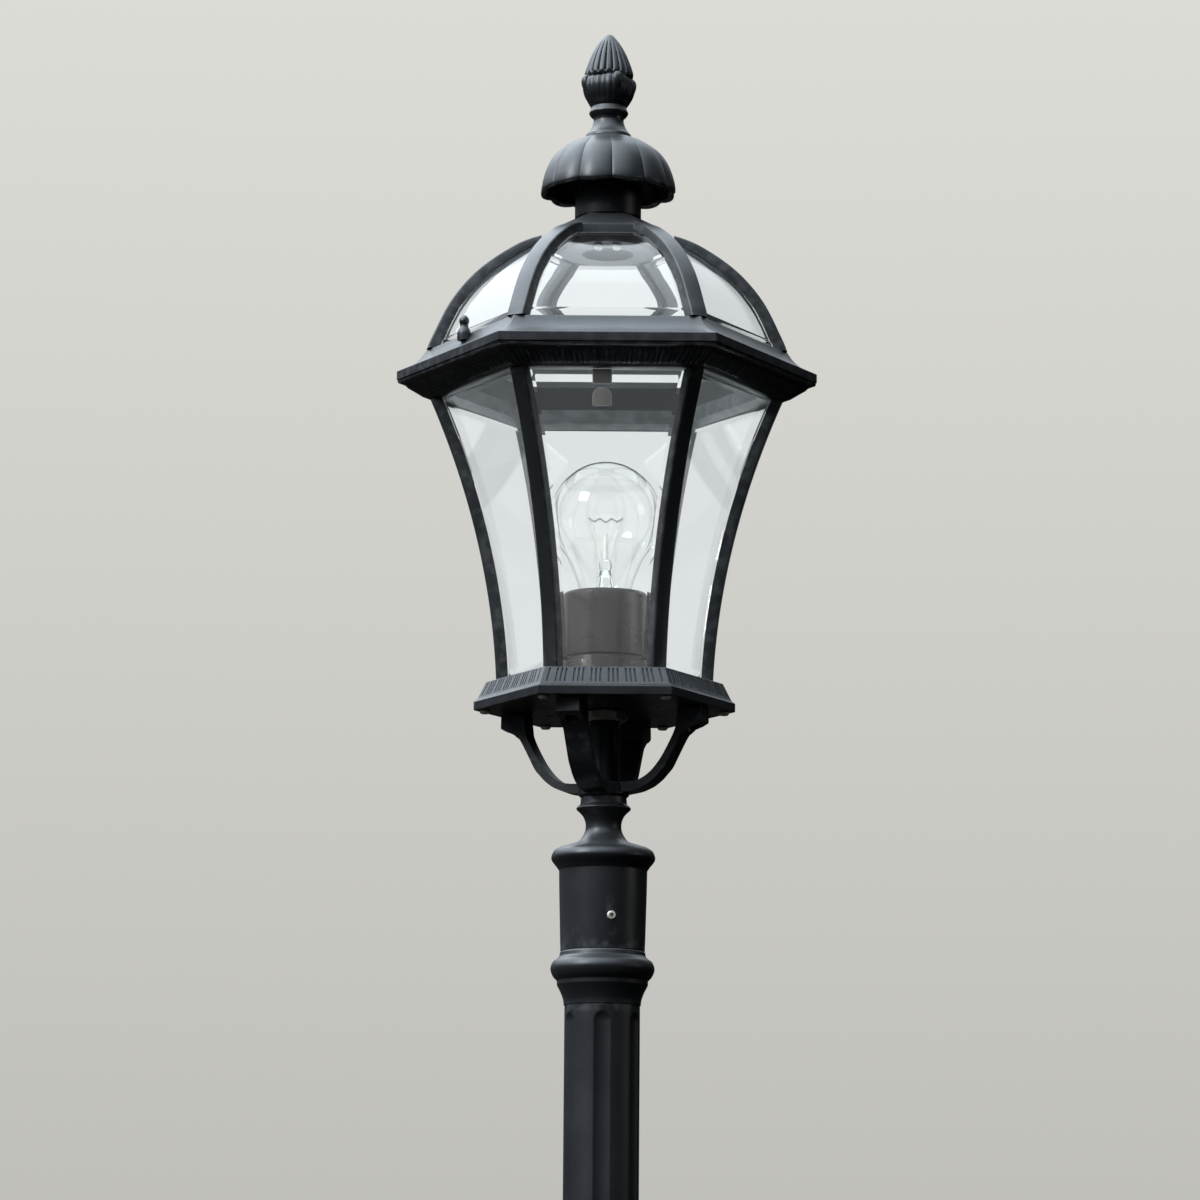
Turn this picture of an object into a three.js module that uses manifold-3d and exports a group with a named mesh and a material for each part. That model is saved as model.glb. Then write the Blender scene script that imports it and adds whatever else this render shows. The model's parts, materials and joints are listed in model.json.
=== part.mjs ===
// Street lamp post: a fluted post on a bell foot, carrying a six-sided glazed lantern.
// Millimetres, +Z up, origin at the centre of the foot's underside, front towards -Y.
// Every hexagonal piece is sized by the radius of its corners, which lie at 0, 60, 120... degrees.
// The lantern's own heights are measured from the top edge of its roof lip.

import * as THREE from 'three';
import { mergeVertices } from 'three/addons/utils/BufferGeometryUtils.js';
import Module from 'manifold-3d';

const wasm = await Module();
wasm.setup();

// ---- Driving dimensions -------------------------------------------------------------------

const TOTAL_HEIGHT = 2250;
const FINIAL_TIP = 192;                       // above the roof lip
const RIM_Z = TOTAL_HEIGHT - FINIAL_TIP;      // height of the roof lip's top edge
const GAP = 0.3;                              // between pieces that touch
const SIDES = 6;

// Post
const TUBE_RADIUS = 20.2;
const TUBE_WALL = 3;
const SPIGOT_RADIUS = TUBE_RADIUS - TUBE_WALL - GAP;
const SPIGOT_LENGTH = 34;
const CABLE_BORE = 11;
const FLUTES = 6;
const FLUTE_CUTTER = 10;                      // radius of the round-nosed cutter
const FLUTE_DEPTH = 1.5;
const FLUTE_END = 6;                          // plain tube left beyond each flute
const BASE_TOP = 250;
const BASE_SOCKET_DEPTH = 60;
const COUPLING_BOTTOM = 980;
const COUPLING_HEIGHT = 44;
const FOOT_RADIUS = 110;
const FOOT_THICKNESS = 9;
const ANCHOR_CIRCLE = 96;
const ANCHOR_HOLE = 6.5;
const ANCHORS = 4;

// Head fitter, with heights below the roof lip
const FITTER_TOP = -234.3;
const FITTER_BOTTOM = -317;
const FITTER_BORE = 18.5;
const TENON_RADIUS = 18.1;
const TENON_TOP = -276;
const CAPITAL_BOTTOM = -346;
const SET_SCREW_Z = -299.8;
const SET_SCREW_RADIUS = 2.4;
const SET_SCREW_ANGLE = 281.5;
const SET_SCREWS = 3;

// Cradle and conduit
const ARMS = 4;
const ARM_BEARING = 250;                      // of the front arm; the others follow in turn
const ARM_WIDTH = 13.4;
const PAD_SCREW_CIRCLE = 51;
const PAD_SCREW_SEAT = -193;                  // floor of the recess each screw's head sits in
const PAD_SCREW_TIP = -176;
const PAD_SCREW_HOLE = 2.1;
const HUB_RADIUS = 13.7;
const CONDUIT_RADIUS = 7;
const CONDUIT_BORE = 5;
const CONDUIT_TOP = -170;
const CONDUIT_BOTTOM = -243.6;
const CONDUIT_HOLE = CONDUIT_RADIUS + GAP;

// Lantern body
const RIM_RADIUS = 115;
const LIP_DEPTH = 5;
const TRAY_RADIUS = 70.8;
const TRAY_BOTTOM = -187.2;
const TRAY_DECK = -171.4;
const TRAY_FLOOR = -183;
const DRAIN_RADIUS = 2;
const DRAIN_CIRCLE = 34;
const FRAME_TOP = -LIP_DEPTH - 0.4;
const FRAME_BOTTOM = -19;
const SIDE_FOOT_RADIUS = 58.2;                // the ribs' outer edge is a parabola
const SIDE_VERTEX_Z = -190;
const SIDE_FLARE = 0.00125;
const SIDE_RIB_WIDTH = 9;
const RIB_DEPTH = 9;
const GLASS_INSET = 4.3;                      // from a rib's outer edge to the glass corner
const SIDE_GLASS = 3;
const SIDE_GLASS_TOP = -13;
const GLASS_MARGIN = 1.2;                     // from a pane's edge to the corner plane
const TAB_WIDTH = 10.4;                       // of the two plates that hold the front pane
const TAB_THICKNESS = 1.2;
const TAB_X = -2.5;
const PANE_KEEPER_FOOT = -22.6;
const PANE_TAB_SPAN = [-33, -24];

// Roof
const ROOF_RIB_WIDTH = 10.5;
const ROOF_GLASS = 2.5;
const ROOF_SEAT = 12;                         // top of the cove, where ribs and glass stand
const CROWN_RADIUS = 36;
const CROWN_BOTTOM = 73.2;
const CROWN_TOP = 86;
const CROWN_BORE = 14;
const FLANGE_RADIUS = 26;
const FLANGE_BOTTOM = 67;
const CROWN_SCREW_X = [-5, 5];
const CROWN_SCREW_Y = -19.5;
const CHIMNEY_RADIUS = 18.2;
const CHIMNEY_BORE = 15.2;
const CHIMNEY_TOP = 104;
const CHIMNEY_CAP = 3;                        // thickness of its closed top
const STUD_RADIUS = 3;
const STUD_HOLE = 3.6;
const STUD_FOOT = 94;
const CANOPY_SEAT = 132;                      // where the finial stands
const PETALS = 12;
const PETAL_TURN = 3.5;
const KNOB_CIRCLE = 88.9;
const KNOB_SEAT = 7;
const KNOB_ANGLES = [210, 30];

// Lamp
const BULB_RADIUS = 30;
const BULB_CENTRE = -80;
const HOLDER_RADIUS = 23.3;
const HOLDER_TOP = -123;
const HOLDER_BOTTOM = -177.6;
const SOCKET_RADIUS = 14.8;
const SOCKET_FLOOR = -160;

// ---- Materials ----------------------------------------------------------------------------

const material = (color, roughness, metalness) =>
  new THREE.MeshStandardMaterial({ color, roughness, metalness });

const blackCoat = () => material(0x23262b, 0.45, 0.3);
const zinc = () => material(0xb9bbb8, 0.35, 0.9);
const brass = () => material(0xb08d4a, 0.35, 0.9);
const darkPlastic = () => material(0x1d1a18, 0.4, 0);
const clearGlass = () => material(0xdfe8e6, 0.05, 0);

// ---- Shape helpers ------------------------------------------------------------------------

const radians = THREE.MathUtils.degToRad;

/** A solid of revolution about Z from [radius, z] points. Both ends lie on the axis, or it closes. */
function turned(points, segments = 24, start = 0) {
  const profile = points.map(([r, z]) => new THREE.Vector2(r, z));
  if (THREE.ShapeUtils.area(profile) < 0) profile.reverse();
  const startsOnAxis = profile[0].x === 0 && profile.at(-1).x === 0;
  if (!startsOnAxis) profile.push(profile[0].clone());
  const geometry = new THREE.LatheGeometry(profile, segments, start);
  geometry.rotateX(Math.PI / 2);
  return geometry;
}

/** The same with six flat sides, sized at its corners. */
const hexTurned = (points) => turned(points, SIDES, Math.PI / SIDES);

/** A plate whose outline is drawn in the radial plane as [radius, z], centred on Y = 0. */
function radialPlate(outline, width) {
  const shape = new THREE.Shape(outline.map(([r, z]) => new THREE.Vector2(r, z)));
  const geometry = new THREE.ExtrudeGeometry(shape, { depth: width, bevelEnabled: false });
  geometry.rotateX(Math.PI / 2);
  geometry.translate(0, width / 2, 0);
  return geometry;
}

/** A round bar along Z between two heights. */
function barAlongZ(radius, bottom, top, segments = 10) {
  const geometry = new THREE.CylinderGeometry(radius, radius, top - bottom, segments);
  geometry.rotateX(Math.PI / 2);
  geometry.translate(0, 0, (top + bottom) / 2);
  return geometry;
}

/** A closed mesh as a solid that can be joined and cut. */
function solid(geometry) {
  const plain = geometry.clone();
  plain.deleteAttribute('normal');
  plain.deleteAttribute('uv');
  const merged = mergeVertices(plain);
  const index = merged.index.array;
  const triangles = [];
  for (let i = 0; i < index.length; i += 3) {
    const [a, b, c] = [index[i], index[i + 1], index[i + 2]];
    if (a !== b && b !== c && c !== a) triangles.push(a, b, c);
  }
  return new wasm.Manifold(new wasm.Mesh({
    numProp: 3,
    vertProperties: new Float32Array(merged.attributes.position.array),
    triVerts: new Uint32Array(triangles),
  }));
}

/** A solid back as a geometry. */
function geometryOf(body) {
  const mesh = body.getMesh();
  const geometry = new THREE.BufferGeometry();
  geometry.setAttribute('position', new THREE.BufferAttribute(mesh.vertProperties, mesh.numProp));
  geometry.setIndex(new THREE.BufferAttribute(mesh.triVerts, 1));
  geometry.computeVertexNormals();
  return geometry;
}

/** The first geometry with the others cut out of it. */
function cut(geometry, ...tools) {
  return geometryOf(tools.reduce((body, tool) => body.subtract(solid(tool)), solid(geometry)));
}

/** All the geometries joined into one. */
function joined(...geometries) {
  return geometryOf(geometries.map(solid).reduce((body, next) => body.add(next)));
}

const common = (a, b) => geometryOf(solid(a).intersect(solid(b)));

/** A geometry turned about Z by an angle in degrees. */
const turnedBy = (geometry, angle) => geometry.clone().rotateZ(radians(angle));

/** A geometry moved out along a bearing in degrees. */
function movedOut(geometry, distance, angle) {
  const x = distance * Math.cos(radians(angle));
  const y = distance * Math.sin(radians(angle));
  return geometry.clone().translate(x, y, 0);
}

/** Evenly spaced numbers from first to last. */
const spaced = (first, last, count) =>
  Array.from({ length: count }, (_, i) => first + (last - first) * i / (count - 1));

/** A slice of the lantern behind one face, along +X, stopping a margin short of the corners. */
function faceWedge(bottom, top) {
  const reach = 2 * RIM_RADIUS;
  const apex = GLASS_MARGIN / Math.sin(Math.PI / SIDES);
  const half = (reach - apex) * Math.tan(Math.PI / SIDES);
  const shape = new THREE.Shape([
    new THREE.Vector2(apex, 0),
    new THREE.Vector2(reach, -half),
    new THREE.Vector2(reach, half),
  ]);
  const geometry = new THREE.ExtrudeGeometry(shape, { depth: top - bottom, bevelEnabled: false });
  geometry.translate(0, 0, bottom);
  return geometry;
}

// ---- Scene graph --------------------------------------------------------------------------

const lampPost = new THREE.Group();
const lantern = new THREE.Group();
lantern.position.z = RIM_Z;
lampPost.add(lantern);

function place(parent, name, geometry, look) {
  const mesh = new THREE.Mesh(geometry, look);
  mesh.name = name;
  parent.add(mesh);
  return mesh;
}

// ---- Post ---------------------------------------------------------------------------------

/** The turned bead and shoulders that finish the post's pieces, from shoulder to tube. */
function beadProfile(bottom) {
  return [
    [20.6, bottom], [21, bottom + 3], [22.3, bottom + 6.6], [24.4, bottom + 10.8],
    [24.4, bottom + 13], [26.7, bottom + 15.6], [27.9, bottom + 19.4], [26.7, bottom + 22.9],
    [24.6, bottom + 24.6], [23.2, bottom + 26],
  ];
}

function baseCasting() {
  const bell = turned([
    [FOOT_RADIUS - 2, 0], [FOOT_RADIUS, 2], [FOOT_RADIUS, FOOT_THICKNESS - 2],
    [FOOT_RADIUS - 2, FOOT_THICKNESS], [82, FOOT_THICKNESS], [80.5, 16], [76, 22],
    [66, 40], [54, 60], [45, 84], [38.5, 114], [34, 150], [32, 184],
    [35.5, 189], [36.5, 194], [35.5, 199], [31, 204], [28.5, 228], [31.5, 235],
    [27, 242], [25.5, BASE_TOP],
    [TUBE_RADIUS + GAP, BASE_TOP], [TUBE_RADIUS + GAP, BASE_TOP - BASE_SOCKET_DEPTH],
    [14, BASE_TOP - BASE_SOCKET_DEPTH], [14, 176], [27, 160], [32, 112], [39, 82], [49, 56],
    [61, 36], [71, 18], [74, 0],
  ], 24);
  const holes = spaced(0, ANCHORS - 1, ANCHORS).map((i) =>
    movedOut(barAlongZ(ANCHOR_HOLE, -1, FOOT_THICKNESS + 1), ANCHOR_CIRCLE, 45 + 90 * i));
  return cut(bell, ...holes);
}

/** A fluted tube between two heights: each flute is a round-nosed cut that stops short of the ends. */
function flutedTube(bottom, top) {
  const tube = turned([
    [TUBE_RADIUS, bottom], [TUBE_RADIUS, top],
    [TUBE_RADIUS - TUBE_WALL, top], [TUBE_RADIUS - TUBE_WALL, bottom],
  ], 36);
  const length = top - bottom - 2 * FLUTE_END - FLUTE_CUTTER;
  const cutter = new THREE.CapsuleGeometry(FLUTE_CUTTER, length, 3, 28);
  cutter.rotateX(Math.PI / 2);
  cutter.translate(TUBE_RADIUS + FLUTE_CUTTER - FLUTE_DEPTH, 0, (top + bottom) / 2);
  const cutters = spaced(0, FLUTES - 1, FLUTES).map((i) => turnedBy(cutter, 30 + 60 * i));
  return cut(tube, ...cutters);
}

const tubeFoot = BASE_TOP - BASE_SOCKET_DEPTH + GAP;
const couplingTop = COUPLING_BOTTOM + COUPLING_HEIGHT;
const capitalFoot = RIM_Z + CAPITAL_BOTTOM;

function midCoupling() {
  const bottom = COUPLING_BOTTOM;
  const lowerBead = beadProfile(bottom);
  const collar = lowerBead.concat([
    [23.2, bottom + 30], [24.6, bottom + 32], [24.6, bottom + 36], [21.6, bottom + 40.5],
    [20.6, couplingTop],
  ]);
  return turned([
    [SPIGOT_RADIUS, bottom - SPIGOT_LENGTH], [SPIGOT_RADIUS, bottom], ...collar,
    [SPIGOT_RADIUS, couplingTop], [SPIGOT_RADIUS, couplingTop + SPIGOT_LENGTH],
    [CABLE_BORE, couplingTop + SPIGOT_LENGTH], [CABLE_BORE, bottom - SPIGOT_LENGTH],
  ], 20);
}

function postCapital() {
  const shoulder = FITTER_BOTTOM - GAP;
  return turned([
    [SPIGOT_RADIUS, CAPITAL_BOTTOM - SPIGOT_LENGTH], [SPIGOT_RADIUS, CAPITAL_BOTTOM],
    ...beadProfile(CAPITAL_BOTTOM), [22.8, shoulder],
    [TENON_RADIUS, shoulder], [TENON_RADIUS, TENON_TOP],
    [CABLE_BORE, TENON_TOP], [CABLE_BORE, CAPITAL_BOTTOM - SPIGOT_LENGTH],
  ], 20);
}

place(lampPost, 'base_casting', baseCasting(), blackCoat());
place(lampPost, 'lower_tube', flutedTube(tubeFoot, COUPLING_BOTTOM - GAP), blackCoat());
place(lampPost, 'mid_coupling', midCoupling(), blackCoat());
place(lampPost, 'upper_tube', flutedTube(couplingTop + GAP, capitalFoot - GAP), blackCoat());
place(lantern, 'post_capital', postCapital(), blackCoat());

// ---- Head fitter and its set screws -------------------------------------------------------

/** A screw along +X through the fitter's wall, from the tenon to just proud of the outside. */
function setScrew(radius, inner, outer) {
  const screw = new THREE.CylinderGeometry(radius, radius, outer - inner, 12);
  screw.rotateZ(Math.PI / 2);
  screw.translate((inner + outer) / 2, 0, SET_SCREW_Z);
  return screw;
}

function headFitter() {
  const body = turned([
    [22.5, FITTER_BOTTOM], [22.8, -312], [23.5, -285], [23.7, -273.5], [25.2, -271.6],
    [27.5, -268.4], [27.9, -266.4], [26.5, -263.2], [20, -260.2], [14.1, -258.7],
    [11.6, -256], [10, -253], [9.6, -250], [9.9, -247.2], [11.2, -244], [14.4, -241.2],
    [14.4, -239.4], [12.3, -236.8], [12.3, FITTER_TOP],
    [CONDUIT_HOLE, FITTER_TOP], [CONDUIT_HOLE, CONDUIT_BOTTOM - GAP],
    [CONDUIT_BORE, CONDUIT_BOTTOM - GAP], [CONDUIT_BORE, TENON_TOP + 8],
    [FITTER_BORE, TENON_TOP + 2], [FITTER_BORE, FITTER_BOTTOM],
  ], 20);
  const hole = setScrew(SET_SCREW_RADIUS + GAP, FITTER_BORE - 4, FITTER_BORE + 10);
  const holes = spaced(0, SET_SCREWS - 1, SET_SCREWS).map((i) =>
    turnedBy(hole, SET_SCREW_ANGLE + 120 * i));
  return cut(body, ...holes);
}

function socketedSetScrew() {
  const outer = 23.6;
  const screw = setScrew(SET_SCREW_RADIUS, TENON_RADIUS + GAP, outer);
  const key = new THREE.CylinderGeometry(1.3, 1.3, 4, SIDES);
  key.rotateZ(Math.PI / 2);
  key.translate(outer, 0, SET_SCREW_Z);
  return cut(screw, key);
}

place(lantern, 'head_fitter', headFitter(), blackCoat());
for (let i = 0; i < SET_SCREWS; i += 1) {
  const screw = turnedBy(socketedSetScrew(), SET_SCREW_ANGLE + 120 * i);
  place(lantern, `head_set_screw_${i + 1}`, screw, zinc());
}

// ---- Cradle, conduit and their fasteners --------------------------------------------------

const armBearing = (i) => ARM_BEARING + 360 * i / ARMS;

function cradle() {
  const padTop = TRAY_BOTTOM - GAP;
  const arm = radialPlate([
    [57.3, padTop], [57.3, -195.2], [54, -197], [48.5, -199.2], [45.6, -202.6],
    [43.2, -207], [40.6, -212], [37.3, -218.3], [34.6, -221.5], [31.5, -224.8],
    [27.3, -228], [24, -229.6], [19.4, -231.2], [10, -232.6],
    [10, -227], [19.6, -226.4], [24.5, -224.6], [28.8, -221.5], [32.8, -217],
    [36.3, -211.8], [41.2, -202.5], [43.6, -196.2], [43.6, padTop],
  ], ARM_WIDTH);
  const hub = barAlongZ(HUB_RADIUS, FITTER_TOP + 0.4, -226.6, 20);
  const arms = spaced(0, ARMS - 1, ARMS).map((i) => turnedBy(arm, armBearing(i)));
  const conduitHole = barAlongZ(CONDUIT_HOLE, -240, -180, 16);
  const shankHole = barAlongZ(PAD_SCREW_HOLE, PAD_SCREW_SEAT - 1, padTop + 1);
  const headHole = barAlongZ(3.6, PAD_SCREW_SEAT - 9, PAD_SCREW_SEAT);
  const screwHole = joined(shankHole, headHole);
  const screwHoles = spaced(0, ARMS - 1, ARMS).map((i) =>
    movedOut(screwHole, PAD_SCREW_CIRCLE, armBearing(i)));
  return cut(joined(hub, ...arms), conduitHole, ...screwHoles);
}

/** A cheese-head screw pointing up, with its head's underside at the given height. */
function screwUp(headRadius, headBottom, seat, shankRadius, tip) {
  return turned([
    [0, headBottom], [headRadius - 0.4, headBottom], [headRadius, headBottom + 0.5],
    [headRadius, seat], [shankRadius, seat], [shankRadius, tip], [0, tip],
  ], 8);
}

function hexNut(radius, bore, bottom, top) {
  const height = top - bottom;
  const body = new THREE.CylinderGeometry(radius, radius, height, SIDES);
  body.rotateX(Math.PI / 2);
  body.translate(0, 0, (top + bottom) / 2);
  return cut(body, barAlongZ(bore, bottom - 1, top + 1, 16));
}

place(lantern, 'cradle', cradle(), blackCoat());
place(lantern, 'conduit_tube', turned([
  [CONDUIT_RADIUS, CONDUIT_BOTTOM], [CONDUIT_RADIUS, CONDUIT_TOP],
  [CONDUIT_BORE, CONDUIT_TOP], [CONDUIT_BORE, CONDUIT_BOTTOM],
], 16), blackCoat());
const lowerNutTop = TRAY_BOTTOM - GAP;
const upperNutFoot = TRAY_FLOOR + GAP;
place(lantern, 'conduit_nut_lower', hexNut(13, CONDUIT_HOLE, lowerNutTop - 5.5, lowerNutTop), zinc());
place(lantern, 'conduit_nut_upper', hexNut(12, CONDUIT_HOLE, upperNutFoot, upperNutFoot + 4.7), zinc());
for (let i = 0; i < ARMS; i += 1) {
  const screw = screwUp(3.2, PAD_SCREW_SEAT - 2.4, PAD_SCREW_SEAT - GAP, 1.7, PAD_SCREW_TIP);
  const placed = movedOut(screw, PAD_SCREW_CIRCLE, armBearing(i));
  place(lantern, `cradle_screw_${i + 1}`, placed, zinc());
}

// ---- Lantern body -------------------------------------------------------------------------

const sideCorner = (z) => SIDE_FOOT_RADIUS + SIDE_FLARE * (z - SIDE_VERTEX_Z) ** 2;
const sideGlassCorner = (z) => sideCorner(z) - GLASS_INSET;
const glassBottom = TRAY_DECK + GAP;

function tray() {
  const pan = hexTurned([
    [TRAY_RADIUS, TRAY_BOTTOM], [TRAY_RADIUS, -182.4], [69.3, -181.6], [68.5, -180.4],
    [64.3, -172], [63.3, TRAY_DECK], [47, TRAY_DECK], [45, TRAY_FLOOR],
    [0, TRAY_FLOOR], [0, TRAY_BOTTOM],
  ]);
  const conduitHole = barAlongZ(CONDUIT_HOLE, TRAY_BOTTOM - 1, TRAY_FLOOR + 1, 16);
  const screwHole = barAlongZ(PAD_SCREW_HOLE, TRAY_BOTTOM - 1, PAD_SCREW_TIP + 0.6);
  const screwHoles = spaced(0, ARMS - 1, ARMS).map((i) =>
    movedOut(screwHole, PAD_SCREW_CIRCLE, armBearing(i)));
  const drain = barAlongZ(DRAIN_RADIUS, TRAY_BOTTOM - 1, TRAY_FLOOR + 1, 8);
  const drains = spaced(0, SIDES - 1, SIDES).map((i) =>
    movedOut(drain, DRAIN_CIRCLE, 30 + 60 * i));
  return cut(pan, conduitHole, ...screwHoles, ...drains);
}

/** Everything inside the side glass's outer faces, grown by a clearance. */
function sideGlassCore(clearance, bottom, top) {
  const outer = spaced(bottom, top, 10).map((z) => [sideGlassCorner(z) + clearance, z]);
  return hexTurned([[0, bottom], ...outer, [0, top]]);
}

function sideRib() {
  const heights = spaced(glassBottom, FRAME_BOTTOM - GAP, 8);
  const outline = [
    ...heights.map((z) => [sideCorner(z), z]),
    ...heights.toReversed().map((z) => [sideCorner(z) - RIB_DEPTH, z]),
  ];
  return cut(radialPlate(outline, SIDE_RIB_WIDTH), sideGlassCore(GAP, -180, -10));
}

function sidePane() {
  const slant = SIDE_GLASS / Math.cos(Math.PI / SIDES);
  const heights = spaced(glassBottom, SIDE_GLASS_TOP, 8);
  const shell = hexTurned([
    ...heights.map((z) => [sideGlassCorner(z), z]),
    ...heights.toReversed().map((z) => [sideGlassCorner(z) - slant, z]),
  ]);
  return common(turnedBy(shell, 30), faceWedge(-200, 0));
}

function topFrame() {
  const ring = hexTurned([
    [RIM_RADIUS - 0.4, FRAME_TOP], [112, -7.6], [107.4, -10.7], [103.1, -13.9],
    [99.8, -17.2], [97, FRAME_BOTTOM], [88, FRAME_BOTTOM], [82, SIDE_GLASS_TOP],
    [82, FRAME_TOP],
  ]);
  const studHole = barAlongZ(1.9, -11.5, 0);
  const studHoles = KNOB_ANGLES.map((angle) => movedOut(studHole, KNOB_CIRCLE, angle));
  return cut(ring, sideGlassCore(0.4, -40, SIDE_GLASS_TOP + 0.4), ...studHoles);
}

place(lantern, 'tray', tray(), blackCoat());
const sideRibShape = sideRib();
const sidePaneShape = sidePane();
for (let i = 0; i < SIDES; i += 1) {
  const ribAngle = 240 + 60 * i;
  place(lantern, `side_rib_${i + 1}`, turnedBy(sideRibShape, ribAngle), blackCoat());
  place(lantern, `side_pane_${i + 1}`, turnedBy(sidePaneShape, ribAngle + 30), clearGlass());
}
place(lantern, 'top_frame', topFrame(), blackCoat());

/** A thin plate lying on the outside of the front pane between two heights. */
function paneTab(bottom, top) {
  const faceAt = (z) => sideGlassCorner(z) * Math.cos(Math.PI / SIDES) + GAP;
  const tab = radialPlate([
    [faceAt(bottom), bottom], [faceAt(bottom) + TAB_THICKNESS, bottom],
    [faceAt(top) + TAB_THICKNESS, top], [faceAt(top), top],
  ], TAB_WIDTH);
  return turnedBy(tab, -90).translate(TAB_X, 0, 0);
}

place(lantern, 'pane_keeper', paneTab(PANE_KEEPER_FOOT, FRAME_BOTTOM - GAP), zinc());
place(lantern, 'pane_tab', paneTab(...PANE_TAB_SPAN), zinc());

// ---- Lamp ---------------------------------------------------------------------------------

place(lantern, 'lampholder', turned([
  [21.3, HOLDER_BOTTOM], [HOLDER_RADIUS, HOLDER_BOTTOM + 2], [HOLDER_RADIUS, HOLDER_TOP - 2],
  [22.3, HOLDER_TOP], [SOCKET_RADIUS, HOLDER_TOP], [SOCKET_RADIUS, SOCKET_FLOOR],
  [7.4, SOCKET_FLOOR], [7.4, HOLDER_BOTTOM],
], 20), darkPlastic());

function bulbGlass() {
  const glass = 1;
  const wall = (inset) => [
    ...spaced(90, -36, 8).map((angle) => [
      (BULB_RADIUS - inset) * Math.cos(radians(angle)),
      BULB_CENTRE + (BULB_RADIUS - inset) * Math.sin(radians(angle)),
    ]),
    [18.2 - inset, -107], [15 - inset, -116], [13.8 - inset, -124], [11.9 - inset, -128.6],
    [11.9 - inset, -138],
  ];
  const outer = wall(0);
  const inner = wall(glass);
  outer[0][0] = 0;
  inner[0][0] = 0;
  return turned([...outer, ...inner.toReversed()], 16);
}

place(lantern, 'bulb_glass', bulbGlass(), clearGlass());
place(lantern, 'bulb_stem', turned([
  [0, -136], [10.4, -136], [10.4, -134], [7.6, -128], [4.4, -119], [3.2, -112],
  [3, -103.6], [0, -103.4],
], 10), clearGlass());
place(lantern, 'bulb_cap', turned([
  [0, -155], [3.6, -155], [4.6, -152.4], [9, -150.6], [13.2, -148], [13.2, -129],
  [12.3, -129], [12.3, -146], [0, -146],
], 16), brass());

// ---- Roof ---------------------------------------------------------------------------------

// Outer edge of the roof ribs, in the plane of a corner, from the cove to the crown.
const roofEdge = new THREE.CatmullRomCurve3([
  [98.6, ROOF_SEAT + GAP], [95.5, 19.8], [85.3, 40.1], [70.7, 57.2], [51, 71], [34, 77.9],
].map(([r, z]) => new THREE.Vector3(r, 0, z)));

/** The roof's outer edge moved in towards the lantern by a depth, as [radius, z] points. */
function roofLine(depth, count = 9) {
  return spaced(0, 1, count).map((t) => {
    const point = roofEdge.getPoint(t);
    const tangent = roofEdge.getTangent(t);
    return [point.x - tangent.z * depth, point.z + tangent.x * depth];
  });
}

/** Everything inside the roof glass's outer faces, less a clearance. */
function roofGlassCore(depth) {
  const line = roofLine(depth);
  return hexTurned([[0, 5], [line[0][0], 5], ...line, [0, line.at(-1)[1]]]);
}

const crownPrism = (clearance) => hexTurned([
  [0, 50], [CROWN_RADIUS + clearance, 50], [CROWN_RADIUS + clearance, 100], [0, 100],
]);

function roofRib() {
  const outer = roofLine(0);
  const inner = roofLine(RIB_DEPTH).filter(([, z]) => z > ROOF_SEAT + GAP);
  const foot = [outer[0][0] - RIB_DEPTH, ROOF_SEAT + GAP];
  const bar = radialPlate([...outer, ...inner.toReversed(), foot], ROOF_RIB_WIDTH);
  return cut(bar, roofGlassCore(GLASS_INSET - GAP), crownPrism(0.4));
}

function roofPane() {
  const shell = hexTurned([
    ...roofLine(GLASS_INSET), ...roofLine(GLASS_INSET + ROOF_GLASS).toReversed(),
  ]);
  const aboveSeat = hexTurned([
    [0, ROOF_SEAT + GAP], [RIM_RADIUS, ROOF_SEAT + GAP], [RIM_RADIUS, 120], [0, 120],
  ]);
  const trimmed = cut(common(shell, aboveSeat), crownPrism(0.8));
  return common(turnedBy(trimmed, 30), faceWedge(0, 120));
}

function roofRim() {
  const rim = hexTurned([
    [RIM_RADIUS, -LIP_DEPTH], [RIM_RADIUS, 0], [109.5, 2], [104.7, 5], [101.3, 8.3],
    [98.8, ROOF_SEAT], [88, ROOF_SEAT], [88, 8.5], [95, 5], [102, -2], [105, -LIP_DEPTH],
  ]);
  const studHole = joined(barAlongZ(1.9, -8, 12), barAlongZ(4.4, KNOB_SEAT, 20, 14));
  return cut(rim, ...KNOB_ANGLES.map((angle) => movedOut(studHole, KNOB_CIRCLE, angle)));
}

function roofCrown() {
  const cap = hexTurned([
    [CROWN_RADIUS, CROWN_BOTTOM], [35.6, 76.4], [33.8, 78], [24.5, 84.2], [20, CROWN_TOP],
    [CROWN_BORE, CROWN_TOP], [CROWN_BORE, CROWN_BOTTOM],
  ]);
  const flange = turned([
    [CROWN_BORE + 0.1, FLANGE_BOTTOM], [FLANGE_RADIUS, FLANGE_BOTTOM],
    [FLANGE_RADIUS, CROWN_BOTTOM + 1], [CROWN_BORE + 0.1, CROWN_BOTTOM + 1],
  ], 20);
  const screwHole = barAlongZ(1.5, FLANGE_BOTTOM - 1, CROWN_BOTTOM - 0.5, 8);
  const screwHoles = CROWN_SCREW_X.map((x) => screwHole.clone().translate(x, CROWN_SCREW_Y, 0));
  return cut(joined(cap, flange), ...screwHoles);
}

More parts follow.
